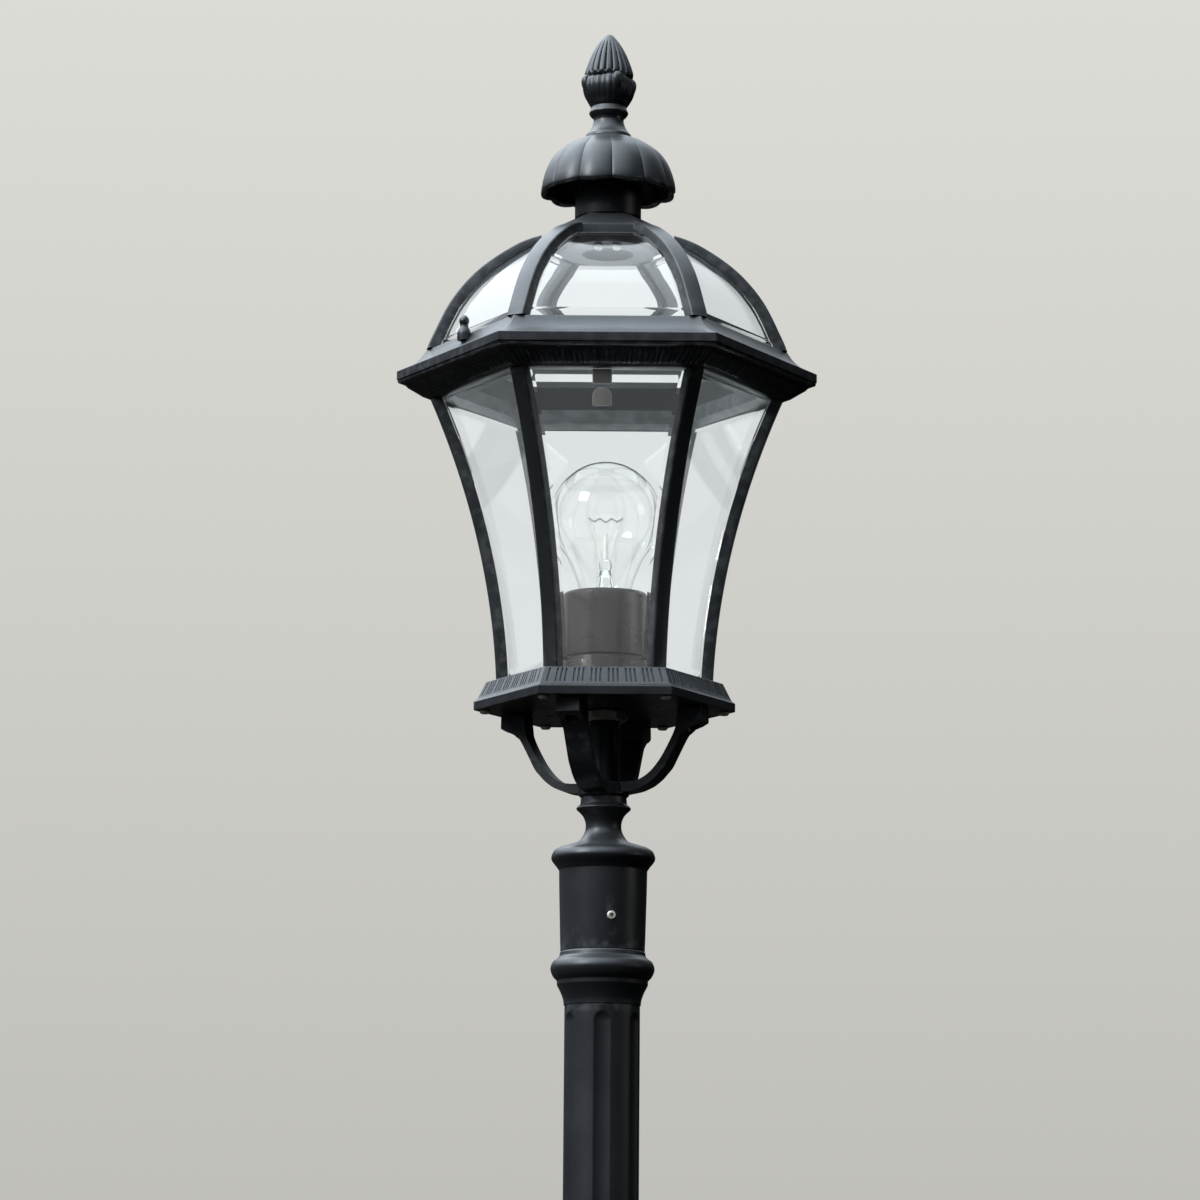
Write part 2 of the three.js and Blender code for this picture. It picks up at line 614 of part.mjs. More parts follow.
/** The vent hood: a turned shell pinched along twelve creases, its lip dipping in each petal. */
function canopy() {
  const shell = turned([
    [12.9, CANOPY_SEAT], [16, 130.7], [20.5, 128.8], [25.4, 125.7], [29.6, 122], [33, 117.1],
    [35.3, 111.9], [36.8, 106.8], [37.5, 101.7], [37, 98.4], [34.6, 97],
    [33.4, 99], [33.4, 104], [31.4, 111], [27.4, 117.6], [21, 123], [13, 126.6], [8, 127],
    [8, CHIMNEY_TOP + GAP], [STUD_HOLE, CHIMNEY_TOP + GAP], [STUD_HOLE, CANOPY_SEAT],
  ], 2 * PETALS);
  const position = shell.attributes.position;
  for (let i = 0; i < position.count; i += 1) {
    const [x, y, z] = [position.getX(i), position.getY(i), position.getZ(i)];
    const radius = Math.hypot(x, y);
    const petal = Math.abs(Math.sin(Math.atan2(y, x) * PETALS / 2));
    const outwards = THREE.MathUtils.smoothstep(radius, 10, 34);
    const lip = THREE.MathUtils.smoothstep(106 - z, 0, 9) * outwards;
    const pinch = 1 - 0.045 * outwards * (1 - petal);
    position.setXYZ(i, x * pinch, y * pinch, z - 1.2 * lip * petal);
  }
  return turnedBy(shell, PETAL_TURN);
}

function finial() {
  const seat = CANOPY_SEAT + GAP;
  return turned([
    [0, STUD_FOOT], [STUD_RADIUS, STUD_FOOT], [STUD_RADIUS, seat], [12.8, seat], [12.5, 134],
    [9.2, 138.3], [8.2, 141.8], [8.5, 143.6], [10.4, 145], [10.7, 146.6], [10, 148.6],
    [9.9, 150], [12.4, 154.2], [14.1, 158.5], [14.6, 163.5], [14.4, 166.4], [13.1, 168.7],
    [12.1, 171.2], [10.6, 175.6], [8.9, 180.4], [7, 184.6], [4.9, 187.8], [2.4, 190.8],
    [0, FINIAL_TIP],
  ], 14);
}

function roofKnob() {
  const seat = KNOB_SEAT + GAP;
  return turned([
    [0, -10.6], [1.5, -10.6], [1.5, seat], [3.7, seat], [3.8, 9.6], [3.5, 12.4],
    [2.5, 14], [2.2, 15.6], [2.6, 17.2], [2.4, 19.2], [1.4, 20.9], [0, 21.3],
  ], 10);
}

place(lantern, 'roof_rim', roofRim(), blackCoat());
const roofRibShape = roofRib();
const roofPaneShape = roofPane();
for (let i = 0; i < SIDES; i += 1) {
  const ribAngle = 240 + 60 * i;
  place(lantern, `roof_rib_${i + 1}`, turnedBy(roofRibShape, ribAngle), blackCoat());
  place(lantern, `roof_pane_${i + 1}`, turnedBy(roofPaneShape, ribAngle + 30), clearGlass());
}
place(lantern, 'roof_crown', roofCrown(), blackCoat());
for (const [i, x] of CROWN_SCREW_X.entries()) {
  const screw = screwUp(2.4, FLANGE_BOTTOM - 2.4, FLANGE_BOTTOM - GAP, 1.2, CROWN_BOTTOM - 1.2);
  place(lantern, `crown_screw_${i + 1}`, screw.translate(x, CROWN_SCREW_Y, 0), zinc());
}
const chimneyCeiling = CHIMNEY_TOP - CHIMNEY_CAP;
place(lantern, 'chimney', turned([
  [CHIMNEY_BORE, CROWN_TOP + GAP], [CHIMNEY_RADIUS, CROWN_TOP + GAP],
  [CHIMNEY_RADIUS, CHIMNEY_TOP], [STUD_HOLE, CHIMNEY_TOP],
  [STUD_HOLE, chimneyCeiling], [CHIMNEY_BORE, chimneyCeiling],
], 20), blackCoat());
place(lantern, 'canopy', canopy(), blackCoat());
place(lantern, 'finial', finial(), blackCoat());
const finialNut = hexNut(6.5, STUD_RADIUS + GAP, STUD_FOOT + 1.5, chimneyCeiling - GAP);
place(lantern, 'finial_nut', finialNut, zinc());
for (const [i, angle] of KNOB_ANGLES.entries()) {
  place(lantern, `roof_knob_${i + 1}`, movedOut(roofKnob(), KNOB_CIRCLE, angle), blackCoat());
}

export default lampPost;
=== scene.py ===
"""A street lamp post: its looks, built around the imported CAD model.

The mesh code works in millimetres. Heights are measured from the top edge of the lantern's roof lip,
and a hexagon is sized by the radius of its corners, which lie at 0, 60, 120... degrees. Pieces become
metres in the model's own frame when they are made, and the front faces -Y (a bearing of 270 degrees).
"""

import json
import math

import bmesh
import bpy
from mathutils import Matrix, Vector

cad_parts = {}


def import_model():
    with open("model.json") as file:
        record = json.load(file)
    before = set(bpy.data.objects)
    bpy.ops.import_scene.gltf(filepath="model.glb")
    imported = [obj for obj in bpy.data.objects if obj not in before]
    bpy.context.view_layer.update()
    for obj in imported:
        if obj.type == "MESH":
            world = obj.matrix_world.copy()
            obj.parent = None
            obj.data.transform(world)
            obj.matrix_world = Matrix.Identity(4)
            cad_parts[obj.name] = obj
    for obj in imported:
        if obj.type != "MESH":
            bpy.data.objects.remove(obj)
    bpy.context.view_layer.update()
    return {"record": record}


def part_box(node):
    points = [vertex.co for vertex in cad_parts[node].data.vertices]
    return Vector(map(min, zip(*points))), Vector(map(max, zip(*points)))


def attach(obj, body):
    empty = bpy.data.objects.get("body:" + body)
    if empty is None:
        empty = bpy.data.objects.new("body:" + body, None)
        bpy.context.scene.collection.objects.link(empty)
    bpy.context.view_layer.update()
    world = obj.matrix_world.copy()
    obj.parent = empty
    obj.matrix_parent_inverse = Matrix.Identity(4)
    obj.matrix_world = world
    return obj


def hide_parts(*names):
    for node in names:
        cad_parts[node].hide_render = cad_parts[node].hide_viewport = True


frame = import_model()

RECORD = frame["record"]
BODY_OF = {n: body for body, nodes in RECORD["behaviour"]["bodies"].items() for n in nodes}
SLOT_OF = {row["node"]: row["material_slot"] for row in RECORD["subparts"]}

MM = 0.001
LIP_DEPTH = 5
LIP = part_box("roof_rim")[0].z + LIP_DEPTH * MM
COS30 = math.cos(math.pi / 6)
TAN30 = math.tan(math.pi / 6)
FRONT = 270
SIDES = 6


def low(node):
    """A CAD node's lowest height, in millimetres from the roof lip."""
    return (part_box(node)[0].z - LIP) / MM


def high(node):
    """A CAD node's highest height, in millimetres from the roof lip."""
    return (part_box(node)[1].z - LIP) / MM


def reach(node):
    """How far a CAD node goes out along +X, in millimetres."""
    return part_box(node)[1].x / MM


# ---- Sizes ------------------------------------------------------------------------------------

GAP = 0.3
GROUND = -LIP / MM
RIM_RADIUS = reach("roof_rim")
TRAY_RADIUS = reach("tray")
TUBE_RADIUS = reach("upper_tube")
BULB_RADIUS = reach("bulb_glass")
CROWN_RADIUS = reach("roof_crown")
TUBE_WALL = 3
BORE = 11
FLUTES = 6
FLUTE_CUTTER = 10
FLUTE_DEPTH = 1.5
FLUTE_END = 4.3
FIRST_RIB = 240
CONDUIT_RADIUS = 8.5
CONDUIT_HOLE = CONDUIT_RADIUS + GAP
FRAME_FOOT = -15.6

SIDE_RIB_WIDTH = 9
ROOF_RIB_WIDTH = 10.5
GLASS_INSET = 4.3
SIDE_GLASS = 3
ROOF_GLASS = 2.5
PANE_BEVEL = 5.5
PANE_BEVEL_DROP = 1.1
GLASS_MARGIN = 1.2

ARMS = 4
ARM_BEARING = 250
ARM_WIDTH = 13.4
PETALS = 12
PETAL_TURN = 3.5


# ---- Outlines ---------------------------------------------------------------------------------

def smooth(points, steps=6):
    """A curve through the points, as a closer list of points."""
    p = [Vector(q) for q in points]
    p = [2 * p[0] - p[1], *p, 2 * p[-1] - p[-2]]
    out = []
    for i in range(1, len(p) - 2):
        a, b, c, d = p[i - 1 : i + 3]
        for k in range(steps):
            t = k / steps
            bend = (2 * a - 5 * b + 4 * c - d) * t * t + (3 * b - a - 3 * c + d) * t ** 3
            out.append(tuple((2 * b + (c - a) * t + bend) / 2))
    out.append(tuple(p[-2]))
    return out


def eased(points, radius, closed=True, steps=3, least_turn=20):
    """An outline with its sharp corners rounded off."""
    out = []
    last = len(points) - 1
    for i, point in enumerate(points):
        here = Vector(point)
        back = Vector(points[i - 1]) - here
        ahead = Vector(points[(i + 1) % len(points)]) - here
        if (not closed and i in (0, last)) or back.length < 1e-6 or ahead.length < 1e-6:
            out.append(tuple(point))
            continue
        turn = math.pi - back.angle(ahead)
        if turn < math.radians(least_turn):
            out.append(tuple(point))
            continue
        cut = min(radius * math.tan(turn / 2), 0.45 * back.length, 0.45 * ahead.length)
        start = here + back.normalized() * cut
        end = here + ahead.normalized() * cut
        for k in range(steps + 1):
            t = k / steps
            out.append(tuple(start * (1 - t) ** 2 + here * 2 * t * (1 - t) + end * t * t))
    return out


def spaced(first, last, count):
    """Evenly spaced numbers from first to last."""
    return [first + (last - first) * i / (count - 1) for i in range(count)]


def fade(x, start, end):
    """0 before start, 1 after end, and smooth between them."""
    t = min(1, max(0, (x - start) / (end - start)))
    return t * t * (3 - 2 * t)


# ---- Skins ------------------------------------------------------------------------------------

def loft(rings, loop=False, capped=False):
    """Points and faces of a skin over rings of equally many points. loop joins the last to the first."""
    count = len(rings[0])
    points = [p for ring in rings for p in ring]
    faces = []
    for i in range(len(rings) if loop else len(rings) - 1):
        a, b = i * count, (i + 1) % len(rings) * count
        faces += [(a + j, a + (j + 1) % count, b + (j + 1) % count, b + j) for j in range(count)]
    if capped:
        faces.append(tuple(range(count)))
        faces.append(tuple(range(len(points) - count, len(points))))
    return points, faces


def around(r, z, angle):
    return (r * math.cos(angle), r * math.sin(angle), z)


def turned(profile, segments=96, relief=None, angles=None):
    """A solid of revolution, whose profile closes or starts and ends on the axis.

    relief(r, z, angle) moves its points.
    """
    angles = angles or [math.tau * i / segments for i in range(segments)]
    on_axis = profile[0][0] == 0 and profile[-1][0] == 0
    rings = []
    for r, z in profile:
        rings.append([around(*(relief(r, z, a) if relief else (r, z)), a) for a in angles])
    return loft(rings, loop=not on_axis)


def hexed(profile, corner=0.8, columns=(), sink=None):
    """The same with six flat sides. columns are shares of a face, -1 to 1, and sink(row, share) cuts in."""
    columns = sorted({-1, 1, *columns})
    rings = []
    for row, (radius, z) in enumerate(profile):
        before = Vector(profile[row - 1])
        after = Vector(profile[(row + 1) % len(profile)])
        along = after - before
        along.x *= COS30
        normal = Vector((along.y, -along.x)).normalized() if along.length else Vector((1, 0))
        rounding = min(corner, 0.3 * radius)
        half = radius / 2 - rounding * TAN30
        ring = []
        for side in range(SIDES):
            facing = math.radians(FRONT + 60 * side)
            out = Vector((math.cos(facing), math.sin(facing)))
            across = Vector((-out.y, out.x))
            for share in columns:
                depth = sink(row, share) if sink else 0
                flat = out * (radius * COS30 - depth * normal.x) + across * half * share
                ring.append((flat.x, flat.y, z - depth * normal.y))
            centre = radius - rounding / COS30
            bend = facing + math.pi / 6
            for k in (1, 2):
                angle = facing + math.radians(20 * k)
                x = centre * math.cos(bend) + rounding * math.cos(angle)
                y = centre * math.sin(bend) + rounding * math.sin(angle)
                ring.append((x, y, z))
        rings.append(ring)
    on_axis = profile[0][0] == 0 and profile[-1][0] == 0
    return loft(rings, loop=not on_axis)


def bar(radius, bottom, top, segments=32, at=(0, 0)):
    """A plain round bar along Z, used to cut holes."""
    ring = [(radius * math.cos(math.tau * i / segments) + at[0],
             radius * math.sin(math.tau * i / segments) + at[1]) for i in range(segments)]
    return loft([[(x, y, bottom) for x, y in ring], [(x, y, top) for x, y in ring]], capped=True)


def bearing(distance, angle):
    return distance * math.cos(math.radians(angle)), distance * math.sin(math.radians(angle))


def plate(outline, width, rounding):
    """A plate in the radial plane from [radius, z] points, centred on Y = 0, with rounded edges."""
    sides = [[(r, y, z) for r, z in outline] for y in (-width / 2, width / 2)]
    points, faces = loft(sides, capped=True)
    mesh = bmesh.new()
    made = [mesh.verts.new(p) for p in points]
    for face in faces:
        mesh.faces.new([made[i] for i in face])
    rims = [e for e in mesh.edges if abs(e.verts[0].co.y - e.verts[1].co.y) < 1e-6]
    bmesh.ops.bevel(mesh, geom=rims, offset=rounding, segments=3, profile=0.5, affect="EDGES",
                    clamp_overlap=True)
    mesh.verts.index_update()
    result = [tuple(v.co) for v in mesh.verts], [tuple(v.index for v in f.verts) for f in mesh.faces]
    mesh.free()
    return result


def tube_along(path, radius, sides=12, flatten=1):
    """A round bar along a path of 3-D points. radius is a number or one for each point."""
    path = [Vector(p) for p in path]
    radii = radius if isinstance(radius, list) else [radius] * len(path)
    rings = []
    side = None
    for i, point in enumerate(path):
        tangent = (path[min(i + 1, len(path) - 1)] - path[max(i - 1, 0)]).normalized()
        if side is None:
            side = tangent.cross(Vector((0, 0, 1)))
            side = side if side.length > 0.1 else tangent.cross(Vector((1, 0, 0)))
        side = (side - tangent * side.dot(tangent)).normalized()
        up = tangent.cross(side) * flatten
        turn = [math.tau * k / sides for k in range(sides)]
        rings.append([tuple(point + (side * math.cos(a) + up * math.sin(a)) * radii[i]) for a in turn])
    return loft(rings, capped=True)


def merged(*meshes):
    """Several separate shells as one mesh."""
    points, faces = [], []
    for more, skins in meshes:
        start = len(points)
        points += more
        faces += [tuple(i + start for i in face) for face in skins]
    return points, faces


def moved(mesh, matrix):
    return [tuple(matrix @ Vector(p)) for p in mesh[0]], mesh[1]


def spun(mesh, angle):
    """A mesh turned about Z by an angle in degrees."""
    return moved(mesh, Matrix.Rotation(math.radians(angle), 4, "Z"))


def shifted(mesh, x, y, z=0):
    return moved(mesh, Matrix.Translation((x, y, z)))


# ---- Pieces -----------------------------------------------------------------------------------

def mesh_data(name, mesh):
    """A Blender mesh in metres, with doubled points merged and its faces turned outwards."""
    data = bpy.data.meshes.new(name)
    data.from_pydata([(x * MM, y * MM, LIP + z * MM) for x, y, z in mesh[0]], [], mesh[1])
    edit = bmesh.new()
    edit.from_mesh(data)
    bmesh.ops.remove_doubles(edit, verts=edit.verts, dist=1e-6)
    bmesh.ops.recalc_face_normals(edit, faces=edit.faces)
    edit.to_mesh(data)
    edit.free()
    return data


def boolean(obj, operation, *tools):
    """Joins, cuts or crosses obj with other closed meshes, and keeps only the result."""
    helpers = []
    for tool in tools:
        helper = bpy.data.objects.new("helper", mesh_data("helper", tool))
        bpy.context.scene.collection.objects.link(helper)
        step = obj.modifiers.new("step", "BOOLEAN")
        step.operation = operation
        step.solver = "MANIFOLD"
        step.object = helper
        helpers.append(helper)
    evaluated = obj.evaluated_get(bpy.context.evaluated_depsgraph_get())
    obj.data = bpy.data.meshes.new_from_object(evaluated)
    obj.modifiers.clear()
    for helper in helpers:
        bpy.data.objects.remove(helper)


def shade(obj, sharp):
    obj.data.shade_smooth()
    obj.data.set_sharp_from_angle(angle=math.radians(sharp))


def made(name, mesh, look, sharp=30):
    """A new piece, before it is given to a body."""
    obj = bpy.data.objects.new(name, mesh_data(name, mesh))
    bpy.context.scene.collection.objects.link(obj)
    obj.data.materials.append(look)
    shade(obj, sharp)
    return obj


def stands_for(node, mesh, sharp=30, less=(), more=(), within=(), look=None):
    """The finished piece for a CAD node: it rides on the node's body and takes the node's finish."""
    obj = made(f"{node}_fine", mesh, look or LOOKS[SLOT_OF[node]], sharp)
    for operation, tools in (("UNION", more), ("DIFFERENCE", less), ("INTERSECT", within)):
        if tools:
            boolean(obj, operation, *tools)
    if less or more or within:
        shade(obj, sharp)
        even = obj.modifiers.new("even", "WEIGHTED_NORMAL")
        even.keep_sharp = True
    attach(obj, BODY_OF[node])
    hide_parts(node)
    return obj


def added(name, near, mesh, look, sharp=30):
    """A small piece with no CAD node of its own, which rides with the node that it is near."""
    obj = made(name, mesh, look, sharp)
    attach(obj, BODY_OF[near])
    return obj


# ---- Materials --------------------------------------------------------------------------------

def node(tree, kind, inputs=None, **settings):
    """A shader node. An input is a value or another node's socket."""
    new = tree.nodes.new("ShaderNode" + kind)
    for key, value in settings.items():
        setattr(new, key, value)
    for key, value in (inputs or {}).items():
        if isinstance(value, bpy.types.NodeSocket):
            tree.links.new(value, new.inputs[key])
        else:
            new.inputs[key].default_value = value
    return new


def blank(name):
    """A new material with only its output node, and that node."""
    material = bpy.data.materials.new(name)
    material.use_nodes = True
    tree = material.node_tree
    tree.nodes.clear()
    return material, tree, node(tree, "OutputMaterial")


def grain(tree, scale, detail=4, stretch=(1, 1, 1)):
    """Noise fixed to the object, scale in cells per metre."""
    place = node(tree, "TexCoord").outputs["Object"]
    place = node(tree, "Mapping", {"Vector": place, "Scale": stretch}).outputs[0]
    return node(tree, "TexNoise", {"Vector": place, "Scale": scale, "Detail": detail}).outputs["Fac"]


def ranged(tree, value, low_in, high_in, low_out, high_out):
    inputs = {"Value": value, "From Min": low_in, "From Max": high_in, "To Min": low_out,
              "To Max": high_out}
    return node(tree, "MapRange", inputs).outputs[0]


def blended(tree, share, a, b):
    """Two colours mixed by a share."""
    mix = node(tree, "Mix", data_type="RGBA")
    for socket, value in ((mix.inputs[0], share), (mix.inputs[6], a), (mix.inputs[7], b)):
        if isinstance(value, bpy.types.NodeSocket):
            tree.links.new(value, socket)
        else:
            socket.default_value = value
    return mix.outputs[2]


def times(tree, a, b):
    return node(tree, "Math", {0: a, 1: b}, operation="MULTIPLY").outputs[0]


def bumped(tree, height, depth_mm, strength=1, under=None):
    inputs = {"Height": height, "Distance": depth_mm * MM, "Strength": strength}
    if under:
        inputs["Normal"] = under
    return node(tree, "Bump", inputs).outputs[0]


def powder_coat(name, dark, light, roughness, dust):
    """Satin black powder coat: orange peel, uneven gloss, pale dust on top faces, edges worn a little."""
    material, tree, output = blank(name)
    cloud = grain(tree, 9)
    peel = grain(tree, 620, 2)
    speck = grain(tree, 1900, 1)
    colour = blended(tree, ranged(tree, cloud, 0.35, 0.65, 0, 1), (*dark, 1), (*light, 1))
    geometry = node(tree, "NewGeometry")
    edge = ranged(tree, geometry.outputs["Pointiness"], 0.515, 0.56, 0, 0.35)
    edge = times(tree, edge, ranged(tree, grain(tree, 160), 0.45, 0.62, 0, 1))
    colour = blended(tree, edge, colour, (0.1, 0.105, 0.11, 1))
    up = node(tree, "SeparateXYZ", {"Vector": geometry.outputs["Normal"]}).outputs["Z"]
    patchy = ranged(tree, grain(tree, 55, 6), 0.3, 0.7, 0.35, 1)
    settled = times(tree, ranged(tree, up, 0.25, 1, 0, dust), patchy)
    colour = blended(tree, settled, colour, (0.3, 0.31, 0.31, 1))
    gloss = ranged(tree, grain(tree, 38, 5), 0.3, 0.7, roughness - 0.05, roughness + 0.07)
    gloss = node(tree, "Math", {0: gloss, 1: times(tree, settled, 0.5)}, operation="ADD").outputs[0]
    surface = bumped(tree, peel, 0.16, 0.35)
    surface = bumped(tree, speck, 0.05, 0.3, surface)
    shader = node(tree, "BsdfPrincipled", {
        "Base Color": colour, "Roughness": gloss, "Normal": surface, "Specular IOR Level": 0.5,
        "Specular Tint": (0.9, 0.96, 1, 1), "Coat Weight": 0.12, "Coat Roughness": 0.3})
    tree.links.new(shader.outputs[0], output.inputs[0])
    return material


def clear_glass(name, tint, haze, bend=1.47):
    """Clear glass with a faint film of dust, which lets lamps through."""
    material, tree, output = blank(name)
    shader = node(tree, "BsdfPrincipled", {
        "Base Color": (*tint, 1), "Roughness": 0.0, "IOR": bend, "Transmission Weight": 1.0})
    film = node(tree, "BsdfDiffuse", {"Color": (0.86, 0.89, 0.9, 1)})
    behind = node(tree, "BsdfTranslucent", {"Color": (0.86, 0.89, 0.9, 1)})
    dusty = node(tree, "MixShader", {0: 0.6, 1: film.outputs[0], 2: behind.outputs[0]})
    streaks = ranged(tree, grain(tree, 16, 6, (1, 1, 0.25)), 0.3, 0.72, 0.35 * haze, haze)
    seen = node(tree, "MixShader", {0: streaks, 1: shader.outputs[0], 2: dusty.outputs[0]})
    through = node(tree, "BsdfTransparent", {"Color": (0.94, 0.96, 0.96, 1)})
    path = node(tree, "LightPath").outputs["Is Shadow Ray"]
    last = node(tree, "MixShader", {0: path, 1: seen.outputs[0], 2: through.outputs[0]})
    tree.links.new(last.outputs[0], output.inputs[0])
    return material


def metal(name, colour, roughness, patches, brushed=(1, 1, 1), bare=1.0):
    """Bare or plated metal with fine scratches and duller patches."""
    material, tree, output = blank(name)
    dull = ranged(tree, grain(tree, 120, 6), 0.35, 0.7, 0, 1)
    tarnish = tuple(c * 0.45 for c in colour) + (1,)
    base = blended(tree, times(tree, dull, patches), (*colour, 1), tarnish)
    scratches = grain(tree, 900, 3, brushed)
    gloss = ranged(tree, dull, 0, 1, roughness, roughness + 0.22)
    shader = node(tree, "BsdfPrincipled", {
        "Base Color": base, "Metallic": bare, "Roughness": gloss,
        "Normal": bumped(tree, scratches, 0.04, 0.5)})
    tree.links.new(shader.outputs[0], output.inputs[0])
    return material


def moulded_plastic(name, colour, lighter):
    """Dark heat-proof plastic with a fine moulded grain."""
    material, tree, output = blank(name)
    base = blended(tree, ranged(tree, grain(tree, 40, 5), 0.3, 0.7, 0, 1), (*colour, 1), (*lighter, 1))
    gloss = ranged(tree, grain(tree, 90, 4), 0.3, 0.7, 0.24, 0.38)
    shader = node(tree, "BsdfPrincipled", {
        "Base Color": base, "Roughness": gloss, "Normal": bumped(tree, grain(tree, 1500, 2), 0.05, 0.4),
        "Specular IOR Level": 0.5})
    tree.links.new(shader.outputs[0], output.inputs[0])
    return material


COAT_DARK = (0.006, 0.007, 0.008)
COAT_LIGHT = (0.012, 0.0135, 0.0155)
LOOKS = {
    "post_coat": powder_coat("post_coat", COAT_DARK, COAT_LIGHT, 0.4, 0.06),
    "lantern_coat": powder_coat("lantern_coat", COAT_DARK, COAT_LIGHT, 0.37, 0.12),
    "side_glass": clear_glass("side_glass", (0.99, 1, 0.995), 0.006),
    "roof_glass": clear_glass("roof_glass", (0.985, 0.995, 0.99), 0.01),
    "bulb_glass": clear_glass("bulb_glass", (1, 1, 1), 0.006),
    "zinc_plate": metal("zinc_plate", (0.78, 0.76, 0.71), 0.36, 0.3, (1, 1, 1), 0.5),
    "holder_plastic": moulded_plastic("holder_plastic", (0.012, 0.009, 0.008), (0.03, 0.023, 0.02)),
    "brass_cap": metal("brass_cap", (0.78, 0.58, 0.27), 0.24, 0.4, (1, 1, 6)),
}
TUNGSTEN = metal("tungsten_wire", (0.42, 0.4, 0.38), 0.35, 0.3)


# ---- Post -------------------------------------------------------------------------------------

def from_ground(points):
    """Profile points whose heights were measured from the ground."""
    return [(r, z + GROUND) for r, z in points]


def bead(bottom):
    """The turned bead and shoulders of the post's pieces, rising from a tube."""
    throat = smooth([(20.6, bottom), (21, bottom + 3), (22.3, bottom + 6.6), (24.4, bottom + 10.8)])
    ring = smooth([(24.4, bottom + 13), (26.7, bottom + 15.6), (27.9, bottom + 19.4),
                   (26.7, bottom + 22.9), (24.6, bottom + 24.6)])
    return throat + ring + [(23.2, bottom + 26)]


def base_casting():
    top = high("base_casting")
    socket = low("lower_tube") - GAP
    foot = [(74, 0), (108, 0), (110, 2), (110, 7), (108, 9), (84, 9)]
    bell = smooth([(82, 10), (80.5, 16), (76, 22), (66, 40), (54, 60), (45, 84), (38.5, 114),
                   (34, 150), (32, 184)])
    ring = smooth([(32, 185), (35.5, 189), (36.5, 194), (35.5, 199), (31, 204)])
    neck = smooth([(30.6, 205), (28.9, 216), (28.5, 228)])
    cap = smooth([(28.6, 229), (31.5, 235), (30.6, 239), (27, 242), (25.8, 246)])
    outside = from_ground(eased(foot + bell + ring + neck + cap, 1.2, closed=False))
    inside = [(14, socket), (14, GROUND + 176), *from_ground([(27, 160), (32, 112), (39, 82), (49, 56),
                                                              (61, 36), (71, 18)])]
    rim = [(25.5, top - 1), (24.6, top), (TUBE_RADIUS + GAP, top), (TUBE_RADIUS + GAP, socket)]
    reeds = 12

    def fluted(r, z, angle):
        """Shallow hollows run up the bell and die out at its foot and its neck."""
        height = z - GROUND
        zone = fade(height, 26, 44) * (1 - fade(height, 160, 180)) * (r > 33.5 and r < 80)
        outer = fade(r, 33, 34) if height > 20 else 0
        return r * (1 - 0.026 * zone * outer * abs(math.cos(angle * reeds / 2)) ** 6), z

    mesh = turned(outside + rim + inside, 288, fluted)
    holes = [bar(6.5, GROUND - 2, GROUND + 12, 40, bearing(96, 45 + 90 * i)) for i in range(4)]
    stands_for("base_casting", mesh, less=holes)


def fluted_tube(node_name):
    """A tube with six round-nosed flutes. Its columns close up towards each flute's nose."""
    bottom, top = low(node_name), high(node_name)
    centre = TUBE_RADIUS + FLUTE_CUTTER - FLUTE_DEPTH
    nose = math.sqrt(FLUTE_CUTTER ** 2 - (centre - TUBE_RADIUS) ** 2)
    first, last = bottom + FLUTE_END + FLUTE_CUTTER / 2, top - FLUTE_END - FLUTE_CUTTER / 2
    rows = [nose * (1 - (1 - k / 8) ** 2) for k in range(9)]
    heights = [bottom, *(first - d for d in reversed(rows)), *(last + d for d in rows), top]
    shares = (0, 0.3, 0.55, 0.75, 0.87, 0.94, 1, 1.07, 1.15)
    soft = 0.22
    rings = []
    for z in heights:
        beyond = max(first - z, z - last, 0)
        cutter = math.sqrt(max(FLUTE_CUTTER ** 2 - beyond ** 2, 0))
        cosine = (TUBE_RADIUS ** 2 + centre ** 2 - cutter ** 2) / (2 * TUBE_RADIUS * centre)
        half = math.acos(min(1, cosine))
        wide = max(half, 0.03)
        angles = [s * wide for s in shares]
        angles += spaced(angles[-1], math.pi / FLUTES, 5)[1:]
        ring = []
        for flute in range(FLUTES):
            middle = math.radians(30 + 360 / FLUTES * flute)
            for a in [-x for x in reversed(angles[:-1])] + angles[1:]:
                inside = cutter ** 2 - (centre * math.sin(a)) ** 2
                cut = centre * math.cos(a) - math.sqrt(inside) if inside > 0 else TUBE_RADIUS + 1
                near = max(soft - abs(TUBE_RADIUS - cut), 0) / soft
                r = min(TUBE_RADIUS, cut) - near * near * soft / 4
                ring.append(around(r, z, middle + a))
        rings.append(ring)
    inner = TUBE_RADIUS - TUBE_WALL
    for z in (top, bottom):
        rings.append([around(inner, z, math.atan2(y, x)) for x, y, _ in rings[0]])
    stands_for(node_name, loft(rings, loop=True))


def mid_coupling():
    bottom = high("lower_tube") + GAP
    top = low("upper_tube") - GAP
    spigot = TUBE_RADIUS - TUBE_WALL - GAP
    upper = [(23.2, bottom + 30), *smooth([(24.2, bottom + 31), (25, bottom + 34), (24.2, bottom + 37)]),
             *smooth([(22.6, bottom + 38.4), (21.3, bottom + 41), (20.6, top)])]
    outside = eased(bead(bottom) + upper, 0.5, closed=False)
    ends = low("mid_coupling"), high("mid_coupling")
    stands_for("mid_coupling", turned([
        (BORE, ends[0]), (spigot, ends[0]), (spigot, bottom), *outside, (spigot, top),
        (spigot, ends[1]), (BORE, ends[1])]))


def post_capital():
    bottom = high("upper_tube") + GAP
    shoulder = low("head_fitter") - GAP
    spigot = TUBE_RADIUS - TUBE_WALL - GAP
    outside = eased([*bead(bottom), (22.9, shoulder - 0.8), (22.4, shoulder)], 0.5, closed=False)
    stands_for("post_capital", turned([
        (BORE, low("post_capital")), (spigot, low("post_capital")), (spigot, bottom), *outside,
        (18.1, shoulder), (18.1, high("post_capital") - 1), (17.4, high("post_capital")),
        (BORE, high("post_capital"))]))


